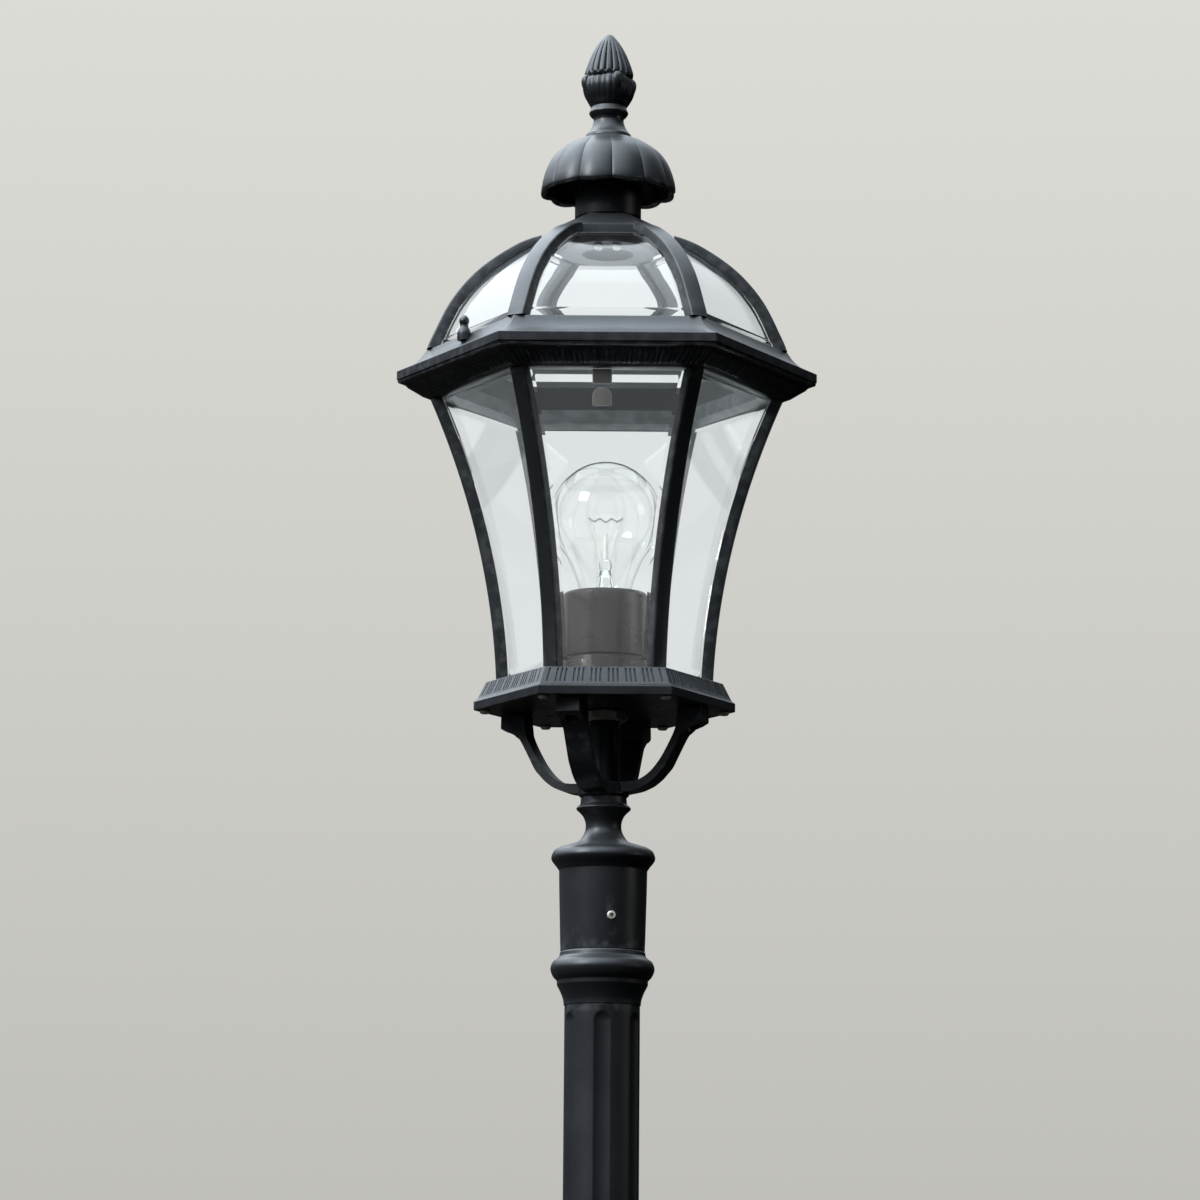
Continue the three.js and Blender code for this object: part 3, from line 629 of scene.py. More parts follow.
# ---- Head fitter ------------------------------------------------------------------------------

SET_SCREW_Z = (low("head_set_screw_1") + high("head_set_screw_1")) / 2
SET_SCREW_RADIUS = 2.4
SET_SCREW_BEARING = 281.5
SET_SCREWS = 3


def radial(mesh, angle, z):
    """A mesh built along +Z, laid to point outwards at a bearing and a height."""
    turn = Matrix.Rotation(math.radians(angle), 4, "Z") @ Matrix.Rotation(math.pi / 2, 4, "Y")
    return moved(mesh, Matrix.Translation((0, 0, z)) @ turn)


def head_fitter():
    bottom, top = low("head_fitter"), high("head_fitter")
    cup = [(22.6, bottom), (22.8, -312), (23.5, -285), (23.7, -273.8)]
    ring = smooth([(25.2, -271.6), (27.5, -268.6), (27.9, -266.4), (26.6, -263.4), (24, -261.6)])
    neck = smooth([(20, -260.4), (14.1, -258.4), (11.6, -255.8), (10, -252.6), (9.6, -250),
                   (9.9, -247.2), (11.2, -244.2), (13.2, -242)])
    collar = smooth([(14.1, -241.3), (14.7, -240.3), (14.1, -239.2)]) + [(12.6, -238), (12.3, top)]
    outside = eased(cup + ring + neck + collar, 0.4, closed=False)
    seat = low("conduit_tube") - GAP
    inside = [(CONDUIT_HOLE, top), (CONDUIT_HOLE, seat), (5, seat), (5, -268),
              (18.5, -274), (18.5, bottom)]
    holes = [radial(bar(SET_SCREW_RADIUS + GAP, 14, 32, 40), SET_SCREW_BEARING + 120 * i, SET_SCREW_Z)
             for i in range(SET_SCREWS)]
    stands_for("head_fitter", turned(outside + inside, 128), less=holes)


def set_screws():
    inner, outer = 18.4, 23.6
    body = turned(eased([(0, inner), (1.6, inner), (SET_SCREW_RADIUS, inner + 0.8),
                         (SET_SCREW_RADIUS, outer - 0.5), (SET_SCREW_RADIUS - 0.5, outer), (0, outer)],
                        0.25, closed=False), 48)
    socket = hexed([(0, outer - 3), (1.25, outer - 3), (1.25, outer + 1), (0, outer + 1)], 0.1)
    for i in range(SET_SCREWS):
        angle = SET_SCREW_BEARING + 120 * i
        stands_for(f"head_set_screw_{i + 1}", radial(body, angle, SET_SCREW_Z),
                   less=[radial(socket, angle, SET_SCREW_Z)])


# ---- Cradle and conduit -----------------------------------------------------------------------

def hex_nut(node_name, radius, bore):
    """A nut with both faces turned to a chamfer."""
    bottom, top = low(node_name), high(node_name)
    chamfer = (radius - 0.94 * radius * COS30) * TAN30
    body = hexed([(0, bottom), (radius, bottom), (radius, top), (0, top)], 0.15)
    cone = turned([(0, bottom), (0.94 * radius * COS30, bottom), (radius, bottom + chamfer),
                   (radius, top - chamfer), (0.94 * radius * COS30, top), (0, top)], 96)
    stands_for(node_name, body, within=[cone], less=[bar(bore, bottom - 1, top + 1, 48)])


def cradle():
    pad = high("cradle")
    outer = smooth([(54, -197), (48.5, -199.2), (45.6, -202.6), (43.2, -207), (40.6, -212),
                    (37.3, -218.3), (34.6, -221.5), (31.5, -224.8), (27.3, -228), (24, -229.6),
                    (19.4, -231.2), (10, -232.6)], 3)
    inner = smooth([(10, -227), (19.6, -226.4), (24.5, -224.6), (28.8, -221.5), (32.8, -217),
                    (36.3, -211.8), (41.2, -202.5), (43.6, -196.2)], 3)
    outline = eased([(57.3, pad), (57.3, -195.2), *outer, *inner, (43.6, pad)], 0.6)
    arm = plate(outline, ARM_WIDTH, 1.3)
    hub = turned(eased([(0, low("cradle")), (12.9, low("cradle")), (13.7, -233), (13.7, -227.4),
                        (12.9, -226.6), (0, -226.6)], 0.4, closed=False), 64)
    arms = [spun(arm, ARM_BEARING + 90 * i) for i in range(ARMS)]
    holes = [bar(CONDUIT_HOLE, -242, -178, 48)]
    holes += [bar(3.6, -202, -193, 24, bearing(51, ARM_BEARING + 90 * i)) for i in range(ARMS)]
    stands_for("cradle", hub, more=arms, less=holes)


def pan_screw(head, bottom, seat, shank, tip):
    """A pan-head screw pointing up, with a cross cut in its head."""
    body = turned(eased([(0, bottom), (head - 0.7, bottom), (head, bottom + 0.9), (head, seat),
                         (shank, seat), (shank, tip), (0, tip)], 0.4, closed=False), 32)
    slots = []
    for angle in (0, 90):
        ring = [(-head * 0.6, -0.3), (head * 0.6, -0.3), (head * 0.6, 0.3), (-head * 0.6, 0.3)]
        slot = loft([[(x, y, z) for x, y in ring] for z in (bottom - 1, bottom + 1)], capped=True)
        slots.append(spun(slot, angle))
    return body, slots


def cradle_screws():
    for i in range(ARMS):
        node_name = f"cradle_screw_{i + 1}"
        x, y = bearing(51, ARM_BEARING + 90 * i)
        body, slots = pan_screw(3.2, low(node_name), -193.3, 1.7, high(node_name))
        stands_for(node_name, shifted(body, x, y), less=[shifted(s, x, y) for s in slots])


def conduit():
    bottom, top = low("conduit_tube"), high("conduit_tube")

    def threaded(r, z, angle):
        """A fine thread on the ends that take the nuts."""
        zone = fade(z, bottom + 1, bottom + 2) * (1 - fade(z, -236, -235)) + fade(z, -196, -195) * (r > 6)
        return r - 0.22 * zone * (1 + math.sin(math.tau * z / 1.2 - angle)) * (r > 6), z

    outside = [(CONDUIT_RADIUS, z) for z in spaced(bottom + 0.6, top - 0.6, 180)]
    profile = [(5, bottom), (CONDUIT_RADIUS - 0.5, bottom), *outside, (CONDUIT_RADIUS - 0.5, top), (5, top)]
    stands_for("conduit_tube", turned(profile, 32, threaded))


# ---- Lantern body -----------------------------------------------------------------------------

SIDE_FOOT_RADIUS = 58.2
SIDE_VERTEX_Z = -190
SIDE_FLARE = 0.00125
DECK = low("side_rib_1") - GAP
FLOOR = -183


def side_corner(z):
    """The radius of the side ribs' outer edge, which flares towards the roof."""
    return SIDE_FOOT_RADIUS + SIDE_FLARE * (z - SIDE_VERTEX_Z) ** 2


def tray():
    bottom = low("tray")
    under = [(0, bottom), (TRAY_RADIUS - 4, bottom)]
    lip = [(TRAY_RADIUS, bottom), (TRAY_RADIUS, bottom + 4.8), (69.4, bottom + 5.6), (68.5, bottom + 6.8)]
    shares = (0.05, 0.13, 0.2, 0.5, 0.85, 0.93, 0.98)
    slope = [(68.5 + (64.3 - 68.5) * t, bottom + 6.8 + 8.4 * t) for t in shares]
    deck = [(64.2, DECK - 0.4), (63.4, DECK), (47, DECK), (45, FLOOR), (0, FLOOR)]
    profile = eased(under + lip, 0.7, closed=False) + slope + deck
    top_row, bottom_row = len(profile) - len(deck), len(profile) - len(deck) - len(slope)
    half = 33
    pitch, period, width, depth = 2.4, 9.25, 1.25, 0.85
    grooves = []
    for group in range(-4, 4):
        for step in (-1, 0, 1):
            place = period * (group + 0.5) + pitch * step
            if abs(place) < half - 1.4:
                grooves.append(place / half)
    wide = width / 2 / half
    columns = [g + wide * s for g in grooves for s in (-1, -0.72, -0.3, 0.3, 0.72, 1)]

    def cut(row, share):
        inside = row - bottom_row
        if not 0 <= inside < top_row - bottom_row:
            return 0
        ends = (0, 0.55, 1, 1, 1, 0.55, 0)[inside]
        near = min(abs(share - g) for g in grooves) / wide
        return depth * ends * (1 - fade(near, 0.28, 0.8)) if near < 1 else 0

    holes = [bar(CONDUIT_HOLE, bottom - 2, FLOOR + 2, 48)]
    holes += [bar(2, bottom - 2, FLOOR + 2, 24, bearing(34, 30 + 60 * i)) for i in range(SIDES)]
    stands_for("tray", hexed(profile, 0.9, columns, cut), less=holes)


def rib(path, width):
    """A bar swept along [radius, z, outward r, outward z] rows, with a back cut to the glass's corner."""
    rings = []
    half = width / 2
    front = [(-1.5, 1), (-0.85, 0.96), (-0.36, 0.86), (-0.12, 0.6), (0, 0.2)]
    for r, z, out_r, out_z in path:
        notch = GLASS_INSET - GAP
        side = notch + TAN30 * half * out_r
        section = [(-notch, 0), (-side, -half)]
        section += [(depth, -half * share) for depth, share in front]
        section += [(depth, half * share) for depth, share in reversed(front)]
        section.append((-side, half))
        rings.append([(r + out_r * d, across, z + out_z * d) for d, across in section])
    return loft(rings, capped=True)


def pane(line, thickness):
    """Bevelled glass for the face at bearing 0, bent along a line of its outer corner's [radius, z]."""
    flat = [Vector((r * COS30, z)) for r, z in line]
    lengths = [0]
    for a, b in zip(flat, flat[1:]):
        lengths.append(lengths[-1] + (b - a).length)
    rings = []
    for i, place in enumerate(flat):
        along = (flat[min(i + 1, len(flat) - 1)] - flat[max(i - 1, 0)]).normalized()
        out = Vector((along.y, -along.x))
        half = place.x * TAN30 - GLASS_MARGIN / COS30
        inner = place - out * thickness
        inner_half = inner.x * TAN30 - GLASS_MARGIN / COS30
        end = min(lengths[i], lengths[-1] - lengths[i])
        ring = []
        for inset in (0, 0.5, PANE_BEVEL):
            ring.append((half - inset, min(inset, end)))
        ring = [(-s, e) for s, e in ring] + [(s, e) for s, e in reversed(ring)]
        section = []
        for s, edge in ring:
            drop = PANE_BEVEL_DROP * (1 - min(1, edge / PANE_BEVEL))
            surface = place - out * drop
            section.append((surface.x, s, surface.y))
        section += [(inner.x, inner_half, inner.y), (inner.x, -inner_half, inner.y)]
        rings.append(section)
    return loft(rings, capped=True)


def bevel_rows(start, end, count):
    """Positions from start to end with close rows where a pane's bevels begin and end."""
    step = PANE_BEVEL if end > start else -PANE_BEVEL
    return [start, start + step * 0.1, *spaced(start + step, end - step, count), end - step * 0.1, end]


def side_walls():
    heights = spaced(low("side_rib_1"), FRAME_FOOT - GAP, 25)
    shape = rib([(side_corner(z), z, 1, 0) for z in heights], SIDE_RIB_WIDTH)
    rows = bevel_rows(low("side_pane_1"), high("side_pane_1"), 26)
    glass = pane([(side_corner(z) - GLASS_INSET, z) for z in rows], SIDE_GLASS)
    for i in range(SIDES):
        stands_for(f"side_rib_{i + 1}", spun(shape, FIRST_RIB + 60 * i), 24)
        stands_for(f"side_pane_{i + 1}", spun(glass, FRONT + 60 * i), 9)


def top_frame():
    top, bottom = high("top_frame"), FRAME_FOOT
    lip = [(RIM_RADIUS - 0.4, top), (RIM_RADIUS - 0.9, top - 1.2)]
    slope = smooth([(112, -7), (107.2, -9.7), (103, -12.2), (99.6, -14.3)], 4)
    foot = [(98.2, bottom + 0.5), (97, bottom), (88, bottom), (82, -13), (82, top)]
    profile = lip + slope + foot
    reeds = 35
    columns = [(i + s) / reeds * 0.98 * 2 - 0.98 for i in range(reeds) for s in (0.08, 0.3, 0.7, 0.92)]

    def cut(row, share):
        inside = row - len(lip)
        if not 0 < inside < len(slope) - 1:
            return 0
        place = ((share / 0.98 + 1) / 2 * reeds) % 1
        ends = min(1, inside / 2, (len(slope) - 1 - inside) / 2)
        return 0.75 * ends * (1 - fade(abs(place - 0.5), 0.22, 0.42)) if abs(share) < 0.98 else 0

    stands_for("top_frame", hexed(profile, 0.8, columns, cut))


def face_tab(width, bottom, top, arch, thickness=1.2):
    """A thin plate on the outside of the front pane, with an arched or straight top."""
    def face(z):
        return (side_corner(z) - GLASS_INSET) * COS30 + GAP

    half = width / 2
    outline = [(-half, bottom), (half, bottom)]
    if arch:
        for angle in spaced(0, 180, 13):
            x, y = bearing(1, angle)
            outline.append((half * math.copysign(abs(x) ** 0.7, x), top - arch + arch * y))
    else:
        outline += [(half, top), (-half, top)]
    outline = eased(outline, 1.1, steps=4)
    layers = [(0, 0.25), (0.25, 0), (thickness - 0.45, 0), (thickness - 0.1, 0.2), (thickness, 0.5)]
    middle = (top + bottom) / 2
    rings = []
    for depth, inset in layers:
        ring = []
        for x, z in outline:
            x, z = x * (1 - inset / half), middle + (z - middle) * (1 - 2 * inset / (top - bottom))
            ring.append((x, -face(z) - depth, z))
        rings.append(ring)
    return loft(rings, capped=True)


TAB_WIDTH = 10.4
TAB_X = -2.5
TAB_ARCH = 4.6
KEEPER_FOOT = -23.3
TAB_SPAN = (-34.4, -25.2)


def pane_tabs():
    keeper = face_tab(TAB_WIDTH, KEEPER_FOOT, FRAME_FOOT - GAP, 0)
    stands_for("pane_keeper", shifted(keeper, TAB_X, 0))
    stands_for("pane_tab", shifted(face_tab(TAB_WIDTH, *TAB_SPAN, TAB_ARCH), TAB_X, 0))


# ---- Lamp -------------------------------------------------------------------------------------

BULB_CENTRE = -80
SOCKET_RADIUS = 14.8
SOCKET_FLOOR = -160


def lampholder():
    bottom, top = low("lampholder"), high("lampholder")
    outer = reach("lampholder")
    skirt = [(outer - 2, bottom), (outer, bottom + 2), (outer, SOCKET_FLOOR - 0.4),
             (outer - 0.7, SOCKET_FLOOR), (outer - 0.7, SOCKET_FLOOR + 1.2), (outer, SOCKET_FLOOR + 1.6),
             (outer, top - 1.6), (outer - 1.2, top), (17.2, top), (16.4, top - 1.2),
             (SOCKET_RADIUS, top - 1.2)]
    well = [(SOCKET_RADIUS, SOCKET_FLOOR), (CONDUIT_HOLE, SOCKET_FLOOR), (CONDUIT_HOLE, bottom)]
    stands_for("lampholder", turned(eased(skirt + well, 0.5), 96))


def bulb():
    def wall(inset):
        globe = []
        for angle in spaced(90, -34, 28):
            r, z = bearing(BULB_RADIUS - inset, angle)
            globe.append((max(r, 0), BULB_CENTRE + z))
        neck = smooth([globe[-1], (20.6 - inset, -103), (17.2 - inset, -111), (14.7 - inset, -118),
                       (13.6 - inset, -124), (12.2 - inset, -128.6), (11.9 - inset, -138)], 5)
        return [(0, globe[0][1]), *globe[1:-1], *neck]

    outer, inner = wall(0), wall(0.9)
    stands_for("bulb_glass", turned(outer + inner[::-1], 96), look=LOOKS["bulb_glass"])
    flare = smooth([(10.4, -134), (7.6, -128), (4.8, -120), (3.4, -112.5)])
    press = smooth([(3, -110), (3.5, -107.4), (3, -104.6), (1.2, -103.5)])
    stem = turned([(0, -136), (10.4, -136), *flare, *press, (0, -103.4)], 48,
                  lambda r, z, a: (r * (1 - 0.45 * fade(z, -114, -110) * abs(math.sin(a))), z))
    stands_for("bulb_stem", stem)


def filament():
    """Lead wires, supports and a coiled filament slung between them."""
    leads = []
    for side in (-1, 1):
        route = smooth([(2 * side, 0, -108), (2.6 * side, 0, -103), (4.6 * side, 0, -93),
                        (8 * side, 0, -83.4), (9.4 * side, 0, -81)])
        leads.append(tube_along(route, 0.36, 10))
        support = smooth([(0.9 * side, 0, -104), (1.4 * side, 0, -96), (3.2 * side, 2, -82.6)])
        leads.append(tube_along(support, 0.17, 8))
    leads.append(tube_along(smooth([(0, 0, -104), (0, 0, -96), (0, 0, -90)]), 1.1, 14))
    added("lead_wires_fine", "bulb_cap", merged(*leads), LOOKS["zinc_plate"])
    turns, radius = 44, 0.55
    coil = []
    for i in range(turns * 10 + 1):
        t = i / (turns * 10)
        angle = math.tau * turns * t
        x = -9.4 + 18.8 * t
        sag = -81 - 1.6 * math.sin(math.pi * ((3 * t) % 1)) ** 2
        y = 2.2 * math.sin(math.pi * t) ** 2
        coil.append((x, y + radius * math.cos(angle), sag + radius * math.sin(angle)))
    added("filament_fine", "bulb_cap", tube_along(coil, 0.13, 6), TUNGSTEN)


def bulb_cap():
    def threaded(r, z, angle):
        zone = fade(z, -147, -145.5) * (1 - fade(z, -132, -130.5))
        return r - 0.45 * zone * (1 - math.sin(math.tau * z / 3.6 - angle)) * (r > 11), z

    shell = [(0, -155), (3.4, -155), (4.4, -154), (4.8, -152.4), (9, -150.6), (12.6, -148.4)]
    shell += [(13.2, z) for z in spaced(-147.4, -129.6, 50)]
    rim = [(12.9, -129), (12.3, -129), (12.3, -146), (0, -146)]
    stands_for("bulb_cap", turned(shell + rim, 72, threaded))


# ---- Roof -------------------------------------------------------------------------------------

SEAT = low("roof_rib_1") - GAP
ROOF_EDGE = smooth([(98.6, SEAT + GAP), (95.5, 19.8), (85.3, 40.1), (70.7, 57.2), (51, 71),
                    (34, 77.9)], 8)
KNOB_BEARINGS = (210, 30)
KNOB_CIRCLE = 88.9
KNOB_SEAT = 7
CROWN_FOOT = 71
CROWN_SCREW_X = (-5, 5)
CROWN_SCREW_Y = -19.5


def roof_rows(depth=0):
    """[radius, z, outward r, outward z] along the roof's edge, moved in by a depth."""
    rows = []
    for i, point in enumerate(ROOF_EDGE):
        before, after = ROOF_EDGE[max(i - 1, 0)], ROOF_EDGE[min(i + 1, len(ROOF_EDGE) - 1)]
        along = (Vector(after) - Vector(before)).normalized()
        rows.append((point[0] - along.y * depth, point[1] + along.x * depth, along.y, -along.x))
    return rows


def roof_rim():
    cove = smooth([(RIM_RADIUS, 0), (109.5, 1.9), (104.7, 4.9), (101.3, 8.3), (98.8, SEAT)], 5)
    profile = [(RIM_RADIUS, -LIP_DEPTH), *cove, (88, SEAT), (88, 8.5), (95, 5), (102, -2),
               (105, -LIP_DEPTH)]
    holes = [bar(4.4, KNOB_SEAT, 24, 32, bearing(KNOB_CIRCLE, angle)) for angle in KNOB_BEARINGS]
    stands_for("roof_rim", hexed(eased(profile, 0.6), 0.8), less=holes)


def roof_frame():
    rows = [row for row in roof_rows() if row[0] >= CROWN_RADIUS + 0.6]
    foot, tip = rows[0], rows[-1]
    rows[0] = (foot[0], SEAT + GAP, 1, 0)
    rows[-1] = (CROWN_RADIUS + 0.4, tip[1] + 0.4, 0, 1)
    shape = rib(rows, ROOF_RIB_WIDTH)
    line = [row[:2] for row in roof_rows(GLASS_INSET) if row[0] > CROWN_RADIUS + 1 and row[1] > SEAT + 0.5]
    start, end = line[0], line[-1]
    line = [start, *[tuple(Vector(start).lerp(line[1], 0.15))], *line[1:-1],
            tuple(Vector(end).lerp(line[-2], 0.15)), end]
    glass = pane(line, ROOF_GLASS)
    for i in range(SIDES):
        stands_for(f"roof_rib_{i + 1}", spun(shape, FIRST_RIB + 60 * i), 24)
        stands_for(f"roof_pane_{i + 1}", spun(glass, FRONT + 60 * i), 9)


def roof_crown():
    bottom, top = low("roof_crown"), high("roof_crown")
    cap = [(0, CROWN_FOOT), (CROWN_RADIUS, CROWN_FOOT), (35.7, 76), (33.8, 78),
           *smooth([(33, 78.6), (24.8, 83.6), (20.6, 85.4)]), (19.4, top), (0, top)]
    flange = turned(eased([(0, bottom), (26, bottom), (26, 74), (0, 74)], 0.6, closed=False), 96)
    stands_for("roof_crown", hexed(eased(cap, 0.5, closed=False), 0.8), more=[flange],
               less=[bar(14, bottom - 2, top + 2, 64)])


def crown_screws():
    for i, x in enumerate(CROWN_SCREW_X):
        name = f"crown_screw_{i + 1}"
        body, slots = pan_screw(2.4, low(name), low("roof_crown") - GAP, 1.2, high(name))
        stands_for(name, shifted(body, x, CROWN_SCREW_Y),
                   less=[shifted(slot, x, CROWN_SCREW_Y) for slot in slots])


def chimney():
    bottom, top = low("chimney"), high("chimney")
    outer = reach("chimney")
    profile = eased([(15.2, bottom), (outer, bottom), (outer, top), (3.6, top), (3.6, top - 3),
                     (15.2, top - 3)], 0.5)
    stands_for("chimney", turned(profile))


def canopy():
    """The vent hood: twelve domed petals, creased between, with a scalloped, turned-in lip."""
    dome = smooth([(14.4, 131.5), (16, 130.7), (20.5, 128.8), (25.4, 125.7), (29.6, 122), (33, 117.1),
                   (35.3, 111.9), (36.8, 106.8), (37.5, 103), (37.2, 101.6), (35.8, 101)])
    under = smooth([(34.2, 102.4), (33.4, 106), (31.4, 111), (27.4, 117.6), (21, 123), (13, 126.6), (8, 127)])
    hub = [(8, low("canopy")), (3.6, low("canopy")), (3.6, 132), (12.9, 132)]

    def petalled(r, z, angle):
        crest = abs(math.sin((angle - math.radians(PETAL_TURN)) * PETALS / 2))
        outwards = fade(r, 10, 32)
        lip = outwards * (1 - fade(z, 101, 106))
        return r * (1 - 0.05 * outwards * (1 - crest ** 0.75)), z - 1.2 * lip * crest

    count = 16
    step = math.tau / PETALS
    shares = [0.5 - 0.5 * math.cos(math.pi * k / count) for k in range(count)]
    angles = [math.radians(PETAL_TURN) + step * (p + s) for p in range(PETALS) for s in shares]
    stands_for("canopy", turned(hub + dome + under, relief=petalled, angles=angles), 35)


SCROLL_BEARING = 290


def scroll(angle):
    """One curled leaf tip of the finial's cup."""
    spine = [(9.5, 153.5), (12, 157.2), (13.6, 160.4), (14.4, 163.2), (14, 165.6), (12.6, 166.4),
             (11.6, 165), (12.2, 163.6)]
    path = [(r, 0, z) for r, z in smooth(spine, 4)]
    radii = [2.6 - 1.5 * fade(i, 0.35 * len(path), len(path)) for i in range(len(path))]
    return spun(tube_along(path, radii, 14, 0.62), angle)


def finial():
    """A turned stem, a cup of four curled leaves and a ribbed bud."""
    seat = 132.3
    flare = smooth([(12.5, seat + 1.5), (10.6, seat + 3.8), (9.2, 138.6), (8.3, 141.8), (8.5, 143.8)])
    ring = smooth([(9.7, 144.6), (10.8, 146.4), (10.1, 148.4)])
    cup = smooth([(9.7, 149.8), (11.6, 152.4), (13.8, 156.4), (14.7, 160.5), (14.3, 164), (13.4, 166)])
    bud = smooth([(13.2, 166.8), (13.5, 168.6), (12.8, 171.6), (11.4, 175.6), (9.4, 180.4), (7.1, 184.6),
                  (4.9, 187.8), (2.4, 190.8), (0.9, 191.8)])
    leaves, ribs = 4, 20

    def carved(r, z, angle):
        leaf = abs(math.sin((angle - math.radians(SCROLL_BEARING)) * leaves / 2))
        in_cup = fade(z, 149.5, 154) * (1 - fade(z, 165.5, 167)) * (r > 8)
        in_bud = fade(z, 167, 169) * (1 - fade(z, 184, 190)) * (r > 2)
        fold = 0.09 * in_cup * leaf ** 3 + 0.03 * in_cup * (1 - abs(math.cos(angle * 12)))
        groove = 0.085 * in_bud * (1 - abs(math.cos(angle * ribs / 2))) ** 2
        return r * (1 - fold - groove), z

    foot = [(0, low("finial")), (3, low("finial")), (3, seat), (12.8, seat)]
    body = turned(foot + flare + ring + cup + bud + [(0, high("finial"))], 240, carved)
    curls = [scroll(SCROLL_BEARING + 360 / leaves * i) for i in range(leaves)]
    stands_for("finial", body, 40, more=curls)


def roof_knobs():
    grip = smooth([(3.8, 9.2), (3.7, 11.4), (3.1, 13.2), (2.4, 14.4), (2.2, 15.6), (2.5, 16.8), (2.7, 18),
                   (2.3, 19.6), (1.2, 20.9)])
    for i, angle in enumerate(KNOB_BEARINGS):
        name = f"roof_knob_{i + 1}"
        profile = [(0, low(name)), (1.5, low(name)), (1.5, 7.3), (3.6, 7.3), *grip, (0, high(name))]
        stands_for(name, shifted(turned(profile, 48), *bearing(KNOB_CIRCLE, angle)))


def rib_screws():
    """The screws that hold the side ribs, seen under the tray at its corners."""
    bottom = low("tray")
    for i in range(SIDES):
        x, y = bearing(64.5, 60 * i)
        body, slots = pan_screw(2.9, bottom - 1.8, bottom, 1.4, bottom + 3)
        added(f"rib_screw_{i + 1}_fine", "conduit_nut_lower", shifted(body, x, y), LOOKS["zinc_plate"])


base_casting()
fluted_tube("lower_tube")
mid_coupling()
fluted_tube("upper_tube")
post_capital()
head_fitter()
set_screws()
cradle()
cradle_screws()
conduit()
hex_nut("conduit_nut_lower", 13, CONDUIT_HOLE)
hex_nut("conduit_nut_upper", 12, CONDUIT_HOLE)
tray()
side_walls()
top_frame()
pane_tabs()
lampholder()
bulb()
filament()
bulb_cap()
roof_rim()
roof_frame()
roof_crown()
crown_screws()
chimney()
canopy()
finial()
hex_nut("finial_nut", 6.5, 3.3)
roof_knobs()
rib_screws()


# ---- Studio -----------------------------------------------------------------------------------

BACKDROP_LOW = (0.52, 0.515, 0.49, 1)
BACKDROP_HIGH = (0.72, 0.715, 0.68, 1)
BEHIND_GLASS = (0.8, 0.82, 0.83, 1)
SKY_LOW = (0.07, 0.075, 0.085, 1)
SKY_HIGH = (4.2, 4.6, 5, 1)
GROUND_LIGHT = (0.03, 0.03, 0.028, 1)
FLOOR_DARK = (0.5, 0.5, 0.48, 1)
FLOOR_LIGHT = (0.54, 0.54, 0.52, 1)
FLOOR_RADIUS = 25
LENS = 140.4
SENSOR = 36
CAMERA_PLACE = (-0.0028, -2.5, LIP - 0.5633)
CAMERA_TILT = 9.92
CAMERA_ROLL = 0.43


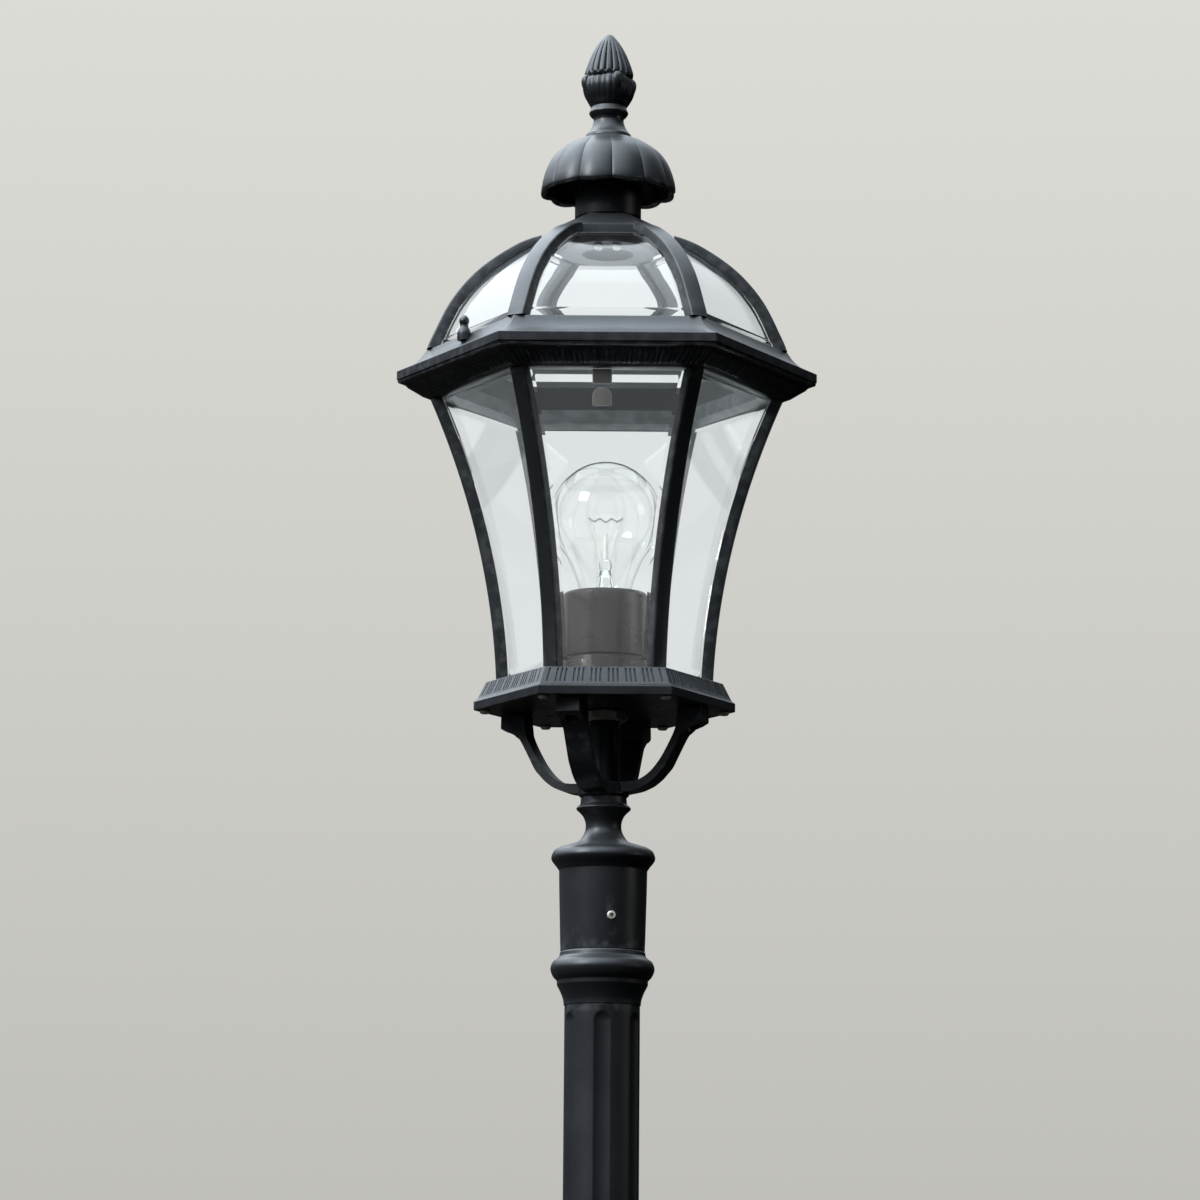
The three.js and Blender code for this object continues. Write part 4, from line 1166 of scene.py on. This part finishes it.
def world():
    """A pale backdrop for the camera, a lighter one behind glass, and a sky for the lighting.

    The sky is bright only high up, and fades from left to right.
    """
    new = bpy.data.worlds.new("studio")
    new.use_nodes = True
    bpy.context.scene.world = new
    tree = new.node_tree
    tree.nodes.clear()
    place = node(tree, "TexCoord").outputs["Generated"]
    axes = node(tree, "SeparateXYZ", {"Vector": place})
    height, across = axes.outputs["Z"], axes.outputs["X"]
    backdrop = blended(tree, ranged(tree, height, 0.04, 0.3, 0, 1), BACKDROP_LOW, BACKDROP_HIGH)
    sky = blended(tree, ranged(tree, height, 0.3, 0.85, 0, 1), SKY_LOW, SKY_HIGH)
    sky = blended(tree, ranged(tree, height, -0.12, 0.05, 1, 0), sky, GROUND_LIGHT)
    side = ranged(tree, across, -0.7, 0.7, 1.5, 0.05)
    light = node(tree, "Background", {"Color": sky, "Strength": side})
    plain = node(tree, "Background", {"Color": backdrop})
    path = node(tree, "LightPath")
    behind_glass = node(tree, "Background", {"Color": BEHIND_GLASS})
    lit = {0: path.outputs["Is Transmission Ray"], 1: light.outputs[0], 2: behind_glass.outputs[0]}
    mix = node(tree, "MixShader", lit)
    seen = {0: path.outputs["Is Camera Ray"], 1: mix.outputs[0], 2: plain.outputs[0]}
    mix = node(tree, "MixShader", seen)
    output = node(tree, "OutputWorld")
    tree.links.new(mix.outputs[0], output.inputs[0])


def floor():
    """A plain pale floor."""
    material, tree, output = blank("floor_paint")
    tone = blended(tree, ranged(tree, grain(tree, 3, 5), 0.3, 0.7, 0, 1), FLOOR_DARK, FLOOR_LIGHT)
    shader = node(tree, "BsdfPrincipled", {"Base Color": tone, "Roughness": 0.8})
    tree.links.new(shader.outputs[0], output.inputs[0])
    rim = [around(FLOOR_RADIUS, 0, math.tau * i / 96) for i in range(96)]
    data = bpy.data.meshes.new("studio_floor")
    data.from_pydata(rim, [], [tuple(range(96))])
    data.materials.append(material)
    obj = bpy.data.objects.new("studio_floor", data)
    bpy.context.scene.collection.objects.link(obj)
    obj.visible_glossy = False
    obj.visible_diffuse = False


def softbox(name, place, target, size, power, colour):
    data = bpy.data.lights.new(name, "AREA")
    data.shape = "DISK"
    data.size = size
    data.energy = power
    data.color = colour
    lamp = bpy.data.objects.new(name, data)
    lamp.location = place
    lamp.rotation_mode = "QUATERNION"
    lamp.rotation_quaternion = (Vector(target) - Vector(place)).to_track_quat("-Z", "Y")
    bpy.context.scene.collection.objects.link(lamp)


def camera():
    """The main view: from 2.5 m in front and below the lantern, tilted up."""
    data = bpy.data.cameras.new("camera")
    data.lens = LENS
    data.sensor_width = SENSOR
    obj = bpy.data.objects.new("camera", data)
    tilt = Matrix.Rotation(math.radians(90 + CAMERA_TILT), 4, "X")
    roll = Matrix.Rotation(math.radians(CAMERA_ROLL), 4, "Z")
    obj.matrix_world = Matrix.Translation(CAMERA_PLACE) @ tilt @ roll
    bpy.context.scene.collection.objects.link(obj)
    bpy.context.scene.camera = obj


world()
floor()
softbox("key", (-3.2, -2.4, 4.6), (0, 0, 1.9), 1.8, 100, (1, 0.99, 0.97))
softbox("side", (3.4, -0.6, 2.6), (0, 0, 1.7), 1.2, 5, (1, 0.93, 0.84))
camera()
bpy.context.scene.view_settings.view_transform = "Standard"
